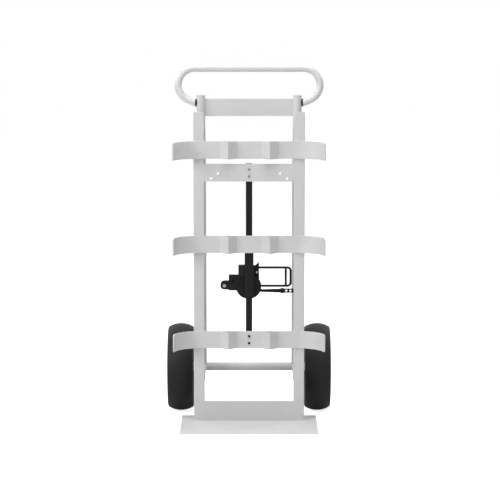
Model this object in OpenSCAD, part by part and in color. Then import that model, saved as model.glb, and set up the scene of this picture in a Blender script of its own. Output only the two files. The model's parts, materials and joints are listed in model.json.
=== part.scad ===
// Gas cylinder trolley for two cylinders side by side.
// Origin: on the floor, midway between the wheels, in the plane of the uprights' front faces.
// +Z is up, +X is to the right seen from the toe plate, +Y points back to the wheels.

/* [Toe plate] */
// Width of the toe plate
toe_w = 588; // [520:1:640]
// Reach of the toe plate in front of the uprights
toe_front = 240; // [200:1:260]
// Reach of the toe plate behind the uprights' front faces
toe_back = 110; // [60:1:130]
// Thickness of the toe plate
toe_t = 8; // [5:0.5:12]
// Length of the bevel along the front edge
toe_bevel = 10; // [4:1:16]

/* [Uprights] */
// Width across the outer faces of the uprights
frame_w = 477; // [450:1:490]
// Width of an upright's front face
upright_w = 46; // [36:1:54]
// Depth of an upright
upright_d = 30; // [24:1:40]
// Wall of the upright tubes
upright_wall = 3; // [2:0.5:4]
// Height of the uprights' top ends above the floor
upright_top = 1346; // [1320:1:1360]
// Thickness of the plugs in the tube ends
cap_t = 4; // [3:0.5:6]

/* [Cross plates] */
// Thickness of the cross plates
plate_t = 6; // [4:0.5:8]
// Height of the lower cross plate
lower_plate_h = 86; // [60:1:110]
// Lower edge of the upper cross plate above the floor
upper_plate_z = 1050; // [1020:1:1060]
// Height of the upper cross plate
upper_plate_h = 76; // [60:1:80]
// Radius of the free bolt holes in the upper cross plate
plate_hole_r = 5.5; // [4:0.5:7]
// Distance between the upper pair of bolt holes
hole_pitch_high = 266; // [240:1:280]
// Distance between the lower pair of bolt holes
hole_pitch_low = 325; // [300:1:340]
// Height of the upper pair above the plate's lower edge
hole_rise_high = 35; // [30:1:45]
// Height of the lower pair above the plate's lower edge
hole_rise_low = 13; // [10:1:20]
// Lower edge of the top crossbar above the floor
crossbar_z = 1328; // [1315:1:1335]
// Height of the top crossbar
crossbar_h = 74; // [60:1:80]

/* [Cradles] */
// Height of a cradle strip
strip_h = 75; // [60:1:80]
// Thickness of a cradle strip
strip_t = 6; // [4:0.5:8]
// Inside radius of a cylinder seat
seat_r = 115; // [105:1:118]
// Distance from the middle to the centre of a seat
seat_x = 205; // [190:1:215]
// Angle that a wing wraps round its cylinder
seat_wrap = 84; // [60:1:90]
// Lower edge of the bottom cradle above the floor
cradle_low_z = 327; // [310:1:340]
// Lower edge of the middle cradle above the floor
cradle_mid_z = 742; // [735:1:780]
// Lower edge of the top cradle above the floor
cradle_top_z = 1148; // [1135:1:1180]
// Distance from the middle to a divider's ridge
divider_x = 89; // [80:1:100]
// Height of a divider's ridge over the strip
divider_h = 36; // [25:1:42]
// Thickness of the divider angles
divider_t = 5; // [3:0.5:6]

/* [Rear tubes and axle] */
// Outside radius of the rear tubes
tube_r = 19; // [16:0.5:20]
// Wall of the rear tubes and the handle
tube_wall = 2.5; // [2:0.5:4]
// Distance from the middle to a rear tube
tube_x = 207; // [205:1:212]
// Height of the posts' top ends above the floor
post_top = 1413; // [1406:1:1426]
// Height of the upper bend of the rear tubes
bend_high_z = 1300; // [1270:1:1310]
// Height of the lower bend of the rear tubes
bend_low_z = 1145; // [1120:1:1170]
// Depth of the lower bend behind the uprights' front faces
bend_low_y = 185; // [150:1:200]
// Depth of the axle behind the uprights' front faces
axle_y = 285; // [275:1:300]
// Bend radius of the rear tubes
tube_bend = 76; // [60:1:90]
// Outside radius of the axle tube
axle_tube_r = 18.5; // [16:0.5:19]
// Radius of the axle shaft
axle_r = 10; // [8:0.5:11]
// Side of the square struts between uprights and rear tubes
strut_side = 30; // [24:1:32]
// Wall of the struts
strut_wall = 2.5; // [2:0.5:4]

/* [Wheels] */
// Radius of a tyre, which is also the height of the axle
wheel_r = 194; // [185:1:205]
// Width of a tyre
tyre_w = 114; // [100:1:118]
// Distance from the middle to a wheel's centre plane
wheel_x = 303; // [300:1:320]
// Drop of the tread from its crown to its shoulders
tread_drop = 16; // [8:1:20]
// Wall of a tyre
tyre_wall = 12; // [8:1:14]
// Radius of the rim where the tyre beads sit
rim_r = 102; // [92:1:110]
// Height of the rim flanges over the bead seat
rim_flange = 10; // [6:1:12]
// Distance between a tyre's beads
bead_w = 88; // [76:1:92]
// Thickness of the pressed rim halves
rim_t = 4; // [3:0.5:5]
// Outside radius of a hub
hub_r = 27; // [25:0.5:30]
// Length of a hub
hub_l = 92; // [80:1:94]
// Outside radius of a wheel bearing
bearing_r = 21; // [18:0.5:22]
// Width of a wheel bearing
bearing_w = 12; // [10:1:15]
// Circle of the rim bolts
rim_bolt_circle = 55; // [48:1:62]
// Radius of the rim bolts
rim_bolt_r = 4; // [3:0.5:5]

/* [Handle] */
// Outside radius of the handle tube
handle_r = 16; // [13:0.5:17]
// Height of the handle's pivot above the floor
pivot_z = 1385; // [1380:1:1390]
// Height of the handle's top bar over its pivot
handle_rise = 147; // [145:0.5:150]
// Radius of the handle's end bends
handle_bend = 70; // [66:0.5:71]
// Angle of the handle's end bends
handle_turn = 157; // [154:1:160]
// Radius of the pivot pins
pivot_r = 8; // [6:0.5:9]
// Wall of the pivot bushes
bush_wall = 2.5; // [2:0.5:3.5]
// Thickness of a bush's collar
bush_collar = 5; // [3:0.5:7]

/* [Slide bar and carriage] */
// Side of the square slide bar
bar_side = 28; // [24:1:32]
// Wall of the slide bar
bar_wall = 3; // [2:0.5:4]
// Lower end of the slide bar above the floor
bar_bottom = 335; // [330:1:340]
// Radius of the bar's screws
screw_r = 4; // [3:0.5:5]
// Distance between two screws that hold the bar
screw_pitch = 30; // [24:1:36]
// Wall of the carriage sleeve
sleeve_wall = 5; // [3:0.5:5]
// Lower end of the carriage sleeve above the floor
sleeve_bottom = 547; // [540:1:552]
// Upper end of the carriage sleeve above the floor
sleeve_top = 756; // [745:1:770]
// Width of the stop block beside the sleeve
block_w = 27; // [20:1:32]
// Height of the stop block
block_h = 48; // [40:1:56]
// Lower edge of the stop block above the floor
block_z = 639; // [638:1:650]

/* [Ratchet] */
// Distance of the ratchet's axis from the middle
ratchet_x = -2; // [-6:1:2]
// Height of the ratchet's axis above the floor
ratchet_z = 591; // [586:1:594]
// Radius of the ratchet wheel over its teeth
ratchet_r = 52; // [48:1:54]
// Number of teeth on the ratchet wheel
ratchet_teeth = 20; // [12:1:30]
// Depth of the ratchet teeth
tooth_h = 6; // [3:0.5:8]
// Thickness of the ratchet wheel
ratchet_t = 8; // [6:0.5:10]
// Radius of the ratchet shaft
shaft_r = 9; // [7:0.5:11]
// Width of the front cheek's round guard past the teeth
guard_w = 3; // [2:0.5:4]
// Thickness of the cheek plates
cheek_t = 5; // [4:0.5:7]
// Radius of the winding drum
drum_r = 24; // [20:1:28]
// Width of the winding drum
drum_w = 17; // [12:1:24]
// Radius of the bolts and pins of the ratchet
pin_r = 4; // [3:0.5:4.5]
// Distance of the anchor roller from the middle
anchor_x = -107; // [-112:1:-104]
// Height of the anchor roller above the floor
anchor_z = 594; // [591:1:598]
// Radius of the rounded ear round the anchor bolt
ear_r = 17; // [14:1:19]
// Radius of the anchor roller
roller_r = 12; // [9:1:14]

/* [Ratchet lever] */
// Radius of the lever's round bar
loop_r = 5; // [4:0.5:5.5]
// Height of the upper arm of the lever over the ratchet's axis
arm_high = 80; // [76:1:86]
// Height of the lower arm of the lever over the ratchet's axis
arm_low = 0; // [-3:1:3]
// Outer end of the lever from the middle
loop_end = 185; // [170:1:188]
// Distance from the lever's end to its inner cross bar
grip_gap = 26; // [20:1:34]
// Bend radius of the lever's corners
loop_bend = 14; // [10:1:18]
// Right edge of the lever plate from the middle
lever_edge = 43; // [40:1:48]
// Distance of the drive pawl's pivot outside the ratchet teeth
drive_out = 19; // [18:0.5:21]
// Angle of the drive pawl's pivot round the ratchet's axis
drive_angle = 59.5; // [58:0.5:62]

/* [Hook arm] */
// Height of the hook arm above the floor
hook_z = 566; // [560:1:570]
// Start of the hook arm from the middle
hook_start = 56; // [52:1:62]
// Distance from the middle to the hook arm's ball
ball_x = 144; // [135:1:150]
// Radius of the hook arm at its root
hook_r_root = 6; // [5:0.5:7]
// Radius of the hook arm at its ball
hook_r_end = 9; // [7:0.5:10]
// Radius of the ball
ball_r = 12; // [11:0.5:14]
// Distance between the holes of the hook strap
strap_pitch = 18; // [15:1:22]
// Height of the hook strap
strap_h = 18; // [14:1:20]
// Thickness of the hook strap
strap_t = 5; // [3:0.5:6]
// Radius of the holes in the hook strap
strap_hole_r = 4.5; // [3:0.5:5]

/* [Clamp knob] */
// Radius of the clamp knob
knob_r = 20; // [16:1:24]
// Length of the clamp knob
knob_l = 18; // [14:1:24]

/* [Clearances] */
// Gap between faces that pass each other
gap = 0.3; // [0.2:0.05:0.5]
// Radial clearance of running fits
run_gap = 0.05; // [0.02:0.01:0.1]
// Gap between the pawls and the ratchet teeth
pawl_gap = 0.8; // [0.5:0.1:1.2]

/* [Hidden] */
$fn = 96;
eps = 0.5;
axle_z = wheel_r;
upright_x = frame_w / 2 - upright_w;
inner_half = frame_w / 2 - upright_w;
post_y = upright_d + tube_r;
handle_end_x = tube_x + tube_r + bush_collar + gap;
handle_top_z = pivot_z + handle_rise;
// Bend at the right end of the handle, and the leg from there down to the collar
leg_z = handle_top_z - handle_bend * (1 - cos(handle_turn));
leg_x = handle_end_x + (leg_z - pivot_z) / tan(180 - handle_turn);
handle_bend_x = leg_x - handle_bend * sin(handle_turn);
handle_bend_z = handle_top_z - handle_bend;
bar_y = plate_t;
bar_top = upper_plate_z + upper_plate_h;
sleeve_in = bar_side + 2 * gap;
sleeve_out = sleeve_in + 2 * sleeve_wall;
sleeve_y = bar_y + bar_side / 2;
sleeve_back = sleeve_y + sleeve_out / 2;
sleeve_half = sleeve_out / 2;
// Stations along the ratchet's axis, front to back
wheel_y = sleeve_back + cheek_t + gap;
lever_y = wheel_y + ratchet_t + gap;
lever_t = 2 * loop_r;
drum_y = lever_y + lever_t + gap;
rear_y = drum_y + drum_w + gap;
shaft_end = rear_y + cheek_t + gap;
cheek_space = rear_y - sleeve_back - cheek_t;
pawl_t = ratchet_t - 2 * gap;
hub_outer = wheel_x + hub_l / 2;
hub_inner = wheel_x - hub_l / 2;
washer_t = 3;
nut_h = 7;
nut_r = 16;
screw_head_r = 5.2;
pin_head_r = pin_r + 1;
screw_head_h = 4;
low_screw_z = cradle_low_z + strip_h / 2 - screw_pitch / 2;
high_screw_z = upper_plate_z + upper_plate_h / 2 - screw_pitch / 2;
screw_reach = 14;
washer_r = bearing_r - washer_t;
// Inner ends of the handle's pins and bushes, inside the posts
pin_start = tube_x - tube_r / 2;
// Metal left round the ratchet shaft's bore in the rear cheek
shaft_land = 10;
// Hold pawl's pivot beside and above the ratchet wheel
pawl_boss = 9;
hold_out = 16;
hold_rise = 24;
hold_x = ratchet_x - ratchet_r - hold_out;
hold_z = ratchet_z + hold_rise;
// Drive pawl's pivot on the lever
drive_x = ratchet_x + (ratchet_r + drive_out) * cos(drive_angle);
drive_z = ratchet_z + (ratchet_r + drive_out) * sin(drive_angle);
// Angles round the ratchet's axis at which the pawls reach the teeth
drive_tip_angle = 36;
hold_tip_angle = 142;
// Edges of the cheek plates
cheek_margin = 2 * pawl_boss;
cheek_drop = 18;
cheek_rise = 46;
cheek_left = hold_x - cheek_margin;
cheek_right = ratchet_x + shaft_r + shaft_land;
cheek_low = ratchet_z - cheek_drop;
cheek_high = ratchet_z + cheek_rise;
post_r = 5;
post_inset = 9;
anchor_head_r = 2 * pin_r;
anchor_head_h = cheek_t;
// Clamp knob on the sleeve's back face
clamp_drop = 22;
clamp_z = sleeve_top - clamp_drop;
knob_y = sleeve_back + screw_head_h;
knob_notches = 6;
knob_notch_r = 5;
knob_notch_circle = knob_r + knob_notch_r / 2;
// Length of the plug in the end of the handle tube
plug_l = 12;
// Depth to which a leg of the handle is let into the bend's wall, and the step left there
leg_root = 2;
leg_step = 0.2;
bend_steps = 3;
rim_bolt_count = 4;
rim_head_r = 1.8 * rim_bolt_r;
rim_head_h = 1.2 * rim_bolt_r;
strap_holes = 3;
paint = "gainsboro";
dark = [0.14, 0.14, 0.15];
zinc = "silver";

// Shared shapes

// Puts children on both sides of the middle plane.
module both_sides() {
    children();
    mirror([1, 0, 0]) children();
}

// A rod between two points.
module rod(a, b, r) {
    run = b - a;
    tilt = acos(run.z / norm(run));
    turn = atan2(run.y, run.x);
    translate(a) rotate([0, tilt, turn]) cylinder(h = norm(run), r = r);
}

// A tube between two points.
module hollow_rod(a, b, r, wall) {
    along = (b - a) / norm(b - a);
    difference() {
        rod(a, b, r);
        rod(a - eps * along, b + eps * along, r - wall);
    }
}

// A rod along +Y from the given point.
module y_rod(at, length, r) {
    translate(at) rotate([-90, 0, 0]) cylinder(h = length, r = r);
}

// A rod along +X from the given point.
module x_rod(at, length, r) {
    translate(at) rotate([0, 90, 0]) cylinder(h = length, r = r);
}

// An outline drawn in X and Z, standing at depth y with thickness t.
module upright_sheet(y, t) {
    translate([0, y + t, 0]) rotate([90, 0, 0]) linear_extrude(t) children();
}

// Frame

module toe_plate() {
    color(paint)
    rotate([90, 0, 90]) translate([0, 0, -toe_w / 2]) linear_extrude(toe_w)
        polygon([[-toe_front, 0], [toe_back, 0], [toe_back, toe_t],
                 [toe_bevel - toe_front, toe_t], [-toe_front, toe_t / 2]]);
}

module upright() {
    color(paint)
    difference() {
        translate([upright_x, 0, toe_t]) cube([upright_w, upright_d, upright_top - toe_t]);
        translate([upright_x + upright_wall, upright_wall, toe_t - eps])
            cube([upright_w - 2 * upright_wall, upright_d - 2 * upright_wall, upright_top]);
    }
}

module left_upright() {
    mirror([1, 0, 0]) upright();
}

module right_upright() {
    upright();
}

module upright_caps() {
    color(paint) both_sides()
    translate([upright_x + upright_wall, upright_wall, upright_top - cap_t])
        cube([upright_w - 2 * upright_wall, upright_d - 2 * upright_wall, cap_t]);
}

module cross_plate(z, h) {
    translate([-inner_half, 0, z]) cube([2 * inner_half, plate_t, h]);
}

// A hole through a cross plate.
module plate_bore(x, z, r) {
    y_rod([x, -eps, z], plate_t + 2 * eps, r);
}

module lower_cross_plate() {
    color(paint) cross_plate(toe_t, lower_plate_h);
}

module upper_cross_plate() {
    color(paint)
    difference() {
        cross_plate(upper_plate_z, upper_plate_h);
        both_sides() {
            plate_bore(hole_pitch_high / 2, upper_plate_z + hole_rise_high, plate_hole_r);
            plate_bore(hole_pitch_low / 2, upper_plate_z + hole_rise_low, plate_hole_r);
        }
        for (i = [0, 1])
            plate_bore(0, high_screw_z + i * screw_pitch, screw_r);
    }
}

module top_crossbar() {
    color(paint)
    difference() {
        translate([-tube_x, post_y - plate_t / 2, crossbar_z]) cube([2 * tube_x, plate_t, crossbar_h]);
        both_sides() translate([tube_x, post_y, 0]) cylinder(h = 2 * post_top, r = tube_r);
    }
}

// A rear tube lies in one plane: down the post, back in a first bend and down in a second one,
// to a saddle on the axle tube.
// Its runs lean back from straight down by these angles, and each bend is made of short mitred runs.
lean_mid = atan2(bend_low_y - post_y, bend_high_z - bend_low_z);
lean_low = atan2(axle_y - bend_low_y, bend_low_z - axle_z);
function way(lean) = [sin(lean), -cos(lean)];
function side_of(lean) = [cos(lean), sin(lean)];
corner_high = [post_y, bend_high_z];
corner_low = [bend_low_y, bend_low_z];
bend_high_start = corner_high - tube_bend * tan(lean_mid / 2) * way(0);
bend_low_start = corner_low - tube_bend * tan((lean_mid - lean_low) / 2) * way(lean_mid);
centre_high = bend_high_start + tube_bend * side_of(0);
centre_low = bend_low_start - tube_bend * side_of(lean_mid);
tube_end = [axle_y, axle_z] - axle_tube_r / 2 * way(lean_low);
// Centre line in depth and height
tube_line = concat(
    [[post_y, post_top]],
    [for (i = [0 : bend_steps]) centre_high - tube_bend * side_of(lean_mid * i / bend_steps)],
    [for (i = [0 : bend_steps])
        centre_low + tube_bend * side_of(lean_mid + (lean_low - lean_mid) * i / bend_steps)],
    [tube_end]
);
function run_lean(i) = atan2(tube_line[i + 1].x - tube_line[i].x, tube_line[i].y - tube_line[i + 1].y);

// Everything above, or below, the plane that halves the corner at a point of the centre line.
module mitre_side(i, below) {
    size = 6 * tube_r;
    lean = (run_lean(i - 1) + run_lean(i)) / 2;
    translate([tube_x, tube_line[i].x, tube_line[i].y]) rotate([lean, 0, 0])
        translate([-size / 2, -size / 2, below ? -size : 0]) cube(size);
}

module tube_runs(r) {
    last = len(tube_line) - 2;
    for (i = [0 : last]) {
        spare = tube_r * way(run_lean(i));
        from = tube_line[i] - (i > 0 ? spare : [0, 0]);
        to = tube_line[i + 1] + (i < last ? spare : [0, 0]);
        difference() {
            translate([tube_x, from.x, from.y]) rotate([180 + run_lean(i), 0, 0])
                cylinder(h = norm(to - from), r = r);
            if (i > 0) mitre_side(i, false);
            if (i < last) mitre_side(i + 1, true);
        }
    }
}

module rear_tube() {
    color(paint)
    difference() {
        tube_runs(tube_r);
        tube_runs(tube_r - tube_wall);
        x_rod([tube_x, post_y, pivot_z], 2 * tube_r, pivot_r + run_gap + bush_wall);
        x_rod([tube_x - 2 * tube_r, axle_y, axle_z], 4 * tube_r, axle_tube_r);
    }
}

module left_rear_tube() {
    mirror([1, 0, 0]) rear_tube();
}

module right_rear_tube() {
    rear_tube();
}

module post_caps() {
    color("darkgray") both_sides()
    translate([tube_x, post_y, 0]) {
        translate([0, 0, post_top - cap_t]) cylinder(h = cap_t, r = tube_r - tube_wall);
        translate([0, 0, post_top]) cylinder(h = cap_t, r1 = tube_r, r2 = tube_r - cap_t / 2);
    }
}

module strut() {
    hollow = strut_side - 2 * strut_wall;
    color(paint)
    difference() {
        translate([tube_x - strut_side / 2, upright_d, axle_z - strut_side / 2])
            cube([strut_side, axle_y - upright_d, strut_side]);
        translate([tube_x - hollow / 2, upright_d - eps, axle_z - hollow / 2])
            cube([hollow, axle_y, hollow]);
        rod([tube_x, corner_low.x, corner_low.y], [tube_x, tube_end.x, tube_end.y], tube_r);
        x_rod([0, axle_y, axle_z], 2 * tube_x, axle_tube_r);
    }
}

module left_strut() {
    mirror([1, 0, 0]) strut();
}

module right_strut() {
    strut();
}

// Axle

module axle_tube() {
    color(paint)
    difference() {
        x_rod([gap + washer_t - hub_inner, axle_y, axle_z], 2 * (hub_inner - washer_t - gap), axle_tube_r);
        x_rod([-hub_inner, axle_y, axle_z], 2 * hub_inner, axle_r);
    }
}

module axle_shaft() {
    color(zinc)
    x_rod([-hub_outer - gap - washer_t - nut_h, axle_y, axle_z],
          2 * (hub_outer + gap + washer_t + nut_h), axle_r);
}

module axle_ring(x, t, r) {
    difference() {
        x_rod([x, axle_y, axle_z], t, r);
        x_rod([x - eps, axle_y, axle_z], t + 2 * eps, axle_r);
    }
}

module axle_washers() {
    color(zinc) both_sides() {
        axle_ring(hub_inner - gap - washer_t, washer_t, washer_r);
        axle_ring(hub_outer + gap, washer_t, washer_r);
    }
}

module axle_nuts() {
    color(zinc) both_sides()
    difference() {
        translate([hub_outer + gap + washer_t, axle_y, axle_z]) rotate([0, 90, 0])
            cylinder(h = nut_h, r = nut_r, $fn = 6);
        x_rod([hub_outer, axle_y, axle_z], 4 * nut_h, axle_r);
    }
}

// Cradles

// One wing in plan: a band that bends forward round the seat.
module wing_plan() {
    reach = 2 * (seat_r + strip_t);
    translate([seat_x, -strip_t - seat_r])
    intersection() {
        difference() {
            circle(r = seat_r + strip_t);
            circle(r = seat_r);
        }
        polygon([[0, 0], [0, reach], [reach, reach], [reach * sin(seat_wrap), reach * cos(seat_wrap)]]);
    }
}

module cradle(z) {
    translate([0, 0, z]) linear_extrude(strip_h) {
        translate([-seat_x, -strip_t]) square([2 * seat_x, strip_t]);
        wing_plan();
        mirror([1, 0]) wing_plan();
    }
}

module bottom_cradle() {
    color(paint)
    difference() {
        cradle(cradle_low_z);
        for (i = [0, 1])
            y_rod([0, -strip_t - eps, low_screw_z + i * screw_pitch], strip_t + 2 * eps, screw_r);
    }
}

module middle_cradle() {
    color(paint) cradle(cradle_mid_z);
}

module top_cradle() {
    color(paint) cradle(cradle_top_z);
}

// Two steel angles on a cradle, ridge forward, that keep the cylinders apart.
module dividers(z) {
    inner = divider_h - divider_t * sqrt(2);
    color(paint) both_sides()
    translate([divider_x, -strip_t, z]) linear_extrude(strip_h)
        polygon([[-divider_h, 0], [0, -divider_h], [divider_h, 0], [inner, 0], [0, -inner], [-inner, 0]]);
}

module bottom_dividers() {
    dividers(cradle_low_z);
}

module middle_dividers() {
    dividers(cradle_mid_z);
}

module top_dividers() {
    dividers(cradle_top_z);
}

// Slide bar

module slide_bar() {
    color(dark)
    difference() {
        translate([-bar_side / 2, bar_y, bar_bottom]) cube([bar_side, bar_side, bar_top - bar_bottom]);
        translate([bar_wall - bar_side / 2, bar_y + bar_wall, bar_bottom - eps])
            cube([bar_side - 2 * bar_wall, bar_side - 2 * bar_wall, bar_top - bar_bottom - bar_wall + eps]);
        for (z = [low_screw_z, high_screw_z])
            for (i = [0, 1])
                y_rod([0, bar_y - eps, z + i * screw_pitch], bar_wall + 2 * eps, screw_r);
    }
}

module bar_spacer() {
    color(dark)
    difference() {
        translate([-bar_side / 2, 0, bar_bottom])
            cube([bar_side, bar_y, low_screw_z + screw_pitch + 2 * screw_r - bar_bottom]);
        for (i = [0, 1])
            y_rod([0, -eps, low_screw_z + i * screw_pitch], bar_y + 2 * eps, screw_r);
    }
}

module bar_screws(z, face_y) {
    for (i = [0, 1]) {
        y_rod([0, face_y, z + i * screw_pitch], screw_reach + plate_t, screw_r);
        y_rod([0, face_y - screw_head_h, z + i * screw_pitch], screw_head_h, screw_head_r);
    }
}

module upper_bar_screws() {
    color(zinc) bar_screws(high_screw_z, 0);
}

module lower_bar_screws() {
    color(dark) bar_screws(low_screw_z, -strip_t);
}

// Handle

module handle_bushes() {
    color(dark) both_sides()
    difference() {
        union() {
            x_rod([pin_start, post_y, pivot_z], tube_x + tube_r - pin_start, pivot_r + run_gap + bush_wall);
            x_rod([tube_x + tube_r, post_y, pivot_z], bush_collar, handle_r);
        }
        x_rod([tube_x - 2 * tube_r, post_y, pivot_z], 4 * tube_r, pivot_r + run_gap);
    }
}

// Top bar of the handle with the bends at its ends.
module handle_arch(r) {
    both_sides() {
        x_rod([0, post_y, handle_top_z], handle_bend_x, r);
        translate([handle_bend_x, post_y, handle_bend_z]) rotate([-90, -90, 0])
            rotate_extrude(angle = handle_turn) translate([handle_bend, 0]) circle(r = r);
    }
}

// Round bar from inside the bend's end down to the collar, where it is cut upright.
module leg_rod(r) {
    size = 6 * handle_r;
    length = 2 * norm([leg_x - handle_end_x, leg_z - pivot_z]);
    difference() {
        translate([leg_x, post_y, leg_z]) rotate([0, 90 + handle_turn, 0])
            translate([0, 0, -leg_root]) cylinder(h = length, r = r);
        translate([handle_end_x - size, post_y - size / 2, pivot_z - size / 2]) cube(size);
    }
}

module handle_tube() {
    color(paint) {
        difference() {
            handle_arch(handle_r);
            handle_arch(handle_r - tube_wall);
        }
        both_sides() difference() {
            leg_rod(handle_r - leg_step);
            leg_rod(handle_r - tube_wall + leg_step);
        }
    }
}

// Plugs welded into the handle's ends, each with a pivot pin.
module handle_pins() {
    color(zinc) both_sides() {
        x_rod([pin_start, post_y, pivot_z], handle_end_x - pin_start, pivot_r);
        difference() {
            leg_rod(handle_r - tube_wall + leg_step);
            translate([handle_end_x + plug_l, 0, pivot_z - 2 * handle_r]) cube(4 * handle_r);
        }
    }
}

// Wheels

// Puts a wheel piece that is drawn round +Z, with +Z outward, on its side of the axle.
module on_axle(side) {
    translate([side * wheel_x, axle_y, axle_z]) rotate([0, side * 90, 0]) children();
}

// Half section of a tyre's outside, or of its cavity when inset by a wall.
module tyre_section(inset) {
    half = tyre_w / 2;
    crown = (half * half + tread_drop * tread_drop) / (2 * tread_drop);
    bead = bead_w / 2 - inset;
    side = half - inset;
    spread_r = rim_r + 4 * rim_flange;
    base_r = rim_r - (inset > 0 ? eps : 0);
    sidewall_r = rim_r + rim_flange + inset / 2;
    intersection() {
        translate([wheel_r - crown, 0]) circle(r = crown - inset);
        polygon([[base_r, -bead], [sidewall_r, -bead], [spread_r, -side], [wheel_r, -side],
                 [wheel_r, side], [spread_r, side], [sidewall_r, bead], [base_r, bead]]);
    }
}

module tyre(side) {
    color(dark) on_axle(side)
    rotate_extrude() difference() {
        tyre_section(0);
        tyre_section(tyre_wall);
    }
}

// One pressed rim half: flange, bead seat and web. The web's back face lies in the wheel's centre plane.
module rim_half(side, outward) {
    edge = bead_w / 2;
    color(zinc) on_axle(side) mirror([0, 0, outward ? 0 : 1])
    difference() {
        rotate_extrude() polygon([
            [hub_r, 0], [rim_r, 0], [rim_r, edge],
            [rim_r + rim_flange, edge], [rim_r + rim_flange, edge + rim_t],
            [rim_r - rim_t, edge + rim_t], [rim_r - rim_t, rim_t], [hub_r, rim_t]]);
        rim_bolt_places() translate([0, 0, -eps]) cylinder(h = rim_t + 2 * eps, r = rim_bolt_r);
    }
}

module rim_bolt_places() {
    for (i = [0 : rim_bolt_count - 1])
        rotate([0, 0, 360 / rim_bolt_count * (i + 0.5)]) translate([rim_bolt_circle, 0, 0]) children();
}

module hub(side) {
    color(dark) on_axle(side)
    difference() {
        cylinder(h = hub_l, r = hub_r, center = true);
        cylinder(h = hub_l + 2 * eps, r = bearing_r, center = true);
    }
}

module bearings(side) {
    color("lightgray") on_axle(side)
    for (end = [0, 1])
        mirror([0, 0, end]) translate([0, 0, hub_l / 2 - bearing_w])
            difference() {
                cylinder(h = bearing_w, r = bearing_r);
                translate([0, 0, -eps]) cylinder(h = bearing_w + 2 * eps, r = axle_r + run_gap);
            }
}

module rim_bolts(side) {
    color(zinc) on_axle(side) rim_bolt_places() {
        translate([0, 0, -rim_t]) cylinder(h = 2 * rim_t, r = rim_bolt_r);
        for (end = [0, 1])
            mirror([0, 0, end]) translate([0, 0, rim_t]) cylinder(h = rim_head_h, r = rim_head_r, $fn = 6);
    }
}

module left_tyre() { tyre(-1); }
module left_rim_inner() { rim_half(-1, false); }
module left_rim_outer() { rim_half(-1, true); }
module left_hub() { hub(-1); }
module left_bearings() { bearings(-1); }
module left_rim_bolts() { rim_bolts(-1); }
module right_tyre() { tyre(1); }
module right_rim_inner() { rim_half(1, false); }
module right_rim_outer() { rim_half(1, true); }
module right_hub() { hub(1); }
module right_bearings() { bearings(1); }
module right_rim_bolts() { rim_bolts(1); }

// Carriage

module carriage_sleeve() {
    color(dark)
    difference() {
        translate([-sleeve_half, sleeve_y - sleeve_half, sleeve_bottom])
            cube([sleeve_out, sleeve_out, sleeve_top - sleeve_bottom]);
        translate([-sleeve_in / 2, sleeve_y - sleeve_in / 2, sleeve_bottom - eps])
            cube([sleeve_in, sleeve_in, sleeve_top - sleeve_bottom + 2 * eps]);
        y_rod([0, sleeve_y, clamp_z], sleeve_out, pin_r + run_gap);
    }
}

module stop_block() {
    color(dark)
    translate([-sleeve_half - block_w, bar_y, block_z]) cube([block_w, sleeve_back - bar_y, block_h]);
}

// Outline of a cheek plate: a body behind the sleeve and an ear round the anchor bolt.
module cheek_outline() {
    translate([cheek_left, cheek_low]) square([cheek_right - cheek_left, cheek_high - cheek_low]);
    translate([anchor_x, anchor_z]) circle(r = ear_r);
    translate([anchor_x, anchor_z - ear_r]) square([cheek_left - anchor_x + eps, 2 * ear_r]);
}

module cheek_bores(y) {
    y_rod([ratchet_x, y - eps, ratchet_z], cheek_t + 2 * eps, shaft_r + run_gap);
    y_rod([anchor_x, y - eps, anchor_z], cheek_t + 2 * eps, pin_r);
}

module front_cheek() {
    color(dark)
    difference() {
        upright_sheet(sleeve_back, cheek_t) {
            cheek_outline();
            translate([ratchet_x, ratchet_z]) circle(r = ratchet_r + guard_w);
        }
        cheek_bores(sleeve_back);
        y_rod([hold_x, sleeve_back - eps, hold_z], cheek_t + 2 * eps, pin_r);
    }
}

module rear_cheek() {
    color(dark)
    difference() {
        upright_sheet(rear_y, cheek_t) {
            cheek_outline();
            hull() {
                translate([ratchet_x, ratchet_z]) circle(r = shaft_r + shaft_land);
                translate([hook_start - eps, hook_z - hook_r_root]) square([eps, 2 * hook_r_root]);
            }
        }
        cheek_bores(rear_y);
    }
}

module cheek_posts() {
    color(dark)
    for (z = [cheek_low + post_inset, cheek_high - post_inset])
        y_rod([cheek_left + post_inset, sleeve_back + cheek_t, z], cheek_space, post_r);
}

module hold_pawl_pin() {
    color(dark) y_rod([hold_x, sleeve_back, hold_z], cheek_t + gap + pawl_t + 2 * gap, pin_r);
}

module anchor_bolt() {
    color(zinc) {
        y_rod([anchor_x, sleeve_back, anchor_z], cheek_space + 2 * cheek_t, pin_r);
        for (y = [sleeve_back - anchor_head_h, rear_y + cheek_t])
            y_rod([anchor_x, y, anchor_z], anchor_head_h, anchor_head_r);
    }
}

module anchor_roller() {
    color(dark)
    difference() {
        y_rod([anchor_x, sleeve_back + cheek_t + gap, anchor_z], cheek_space - 2 * gap, roller_r);
        y_rod([anchor_x, sleeve_back, anchor_z], rear_y, pin_r + run_gap);
    }
}

module hook_arm() {
    y = rear_y + cheek_t / 2;
    color(dark) {
        translate([hook_start, y, hook_z]) rotate([0, 90, 0])
            cylinder(h = ball_x - hook_start, r1 = hook_r_root, r2 = hook_r_end);
        translate([ball_x, y, hook_z]) sphere(r = ball_r);
    }
}

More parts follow.
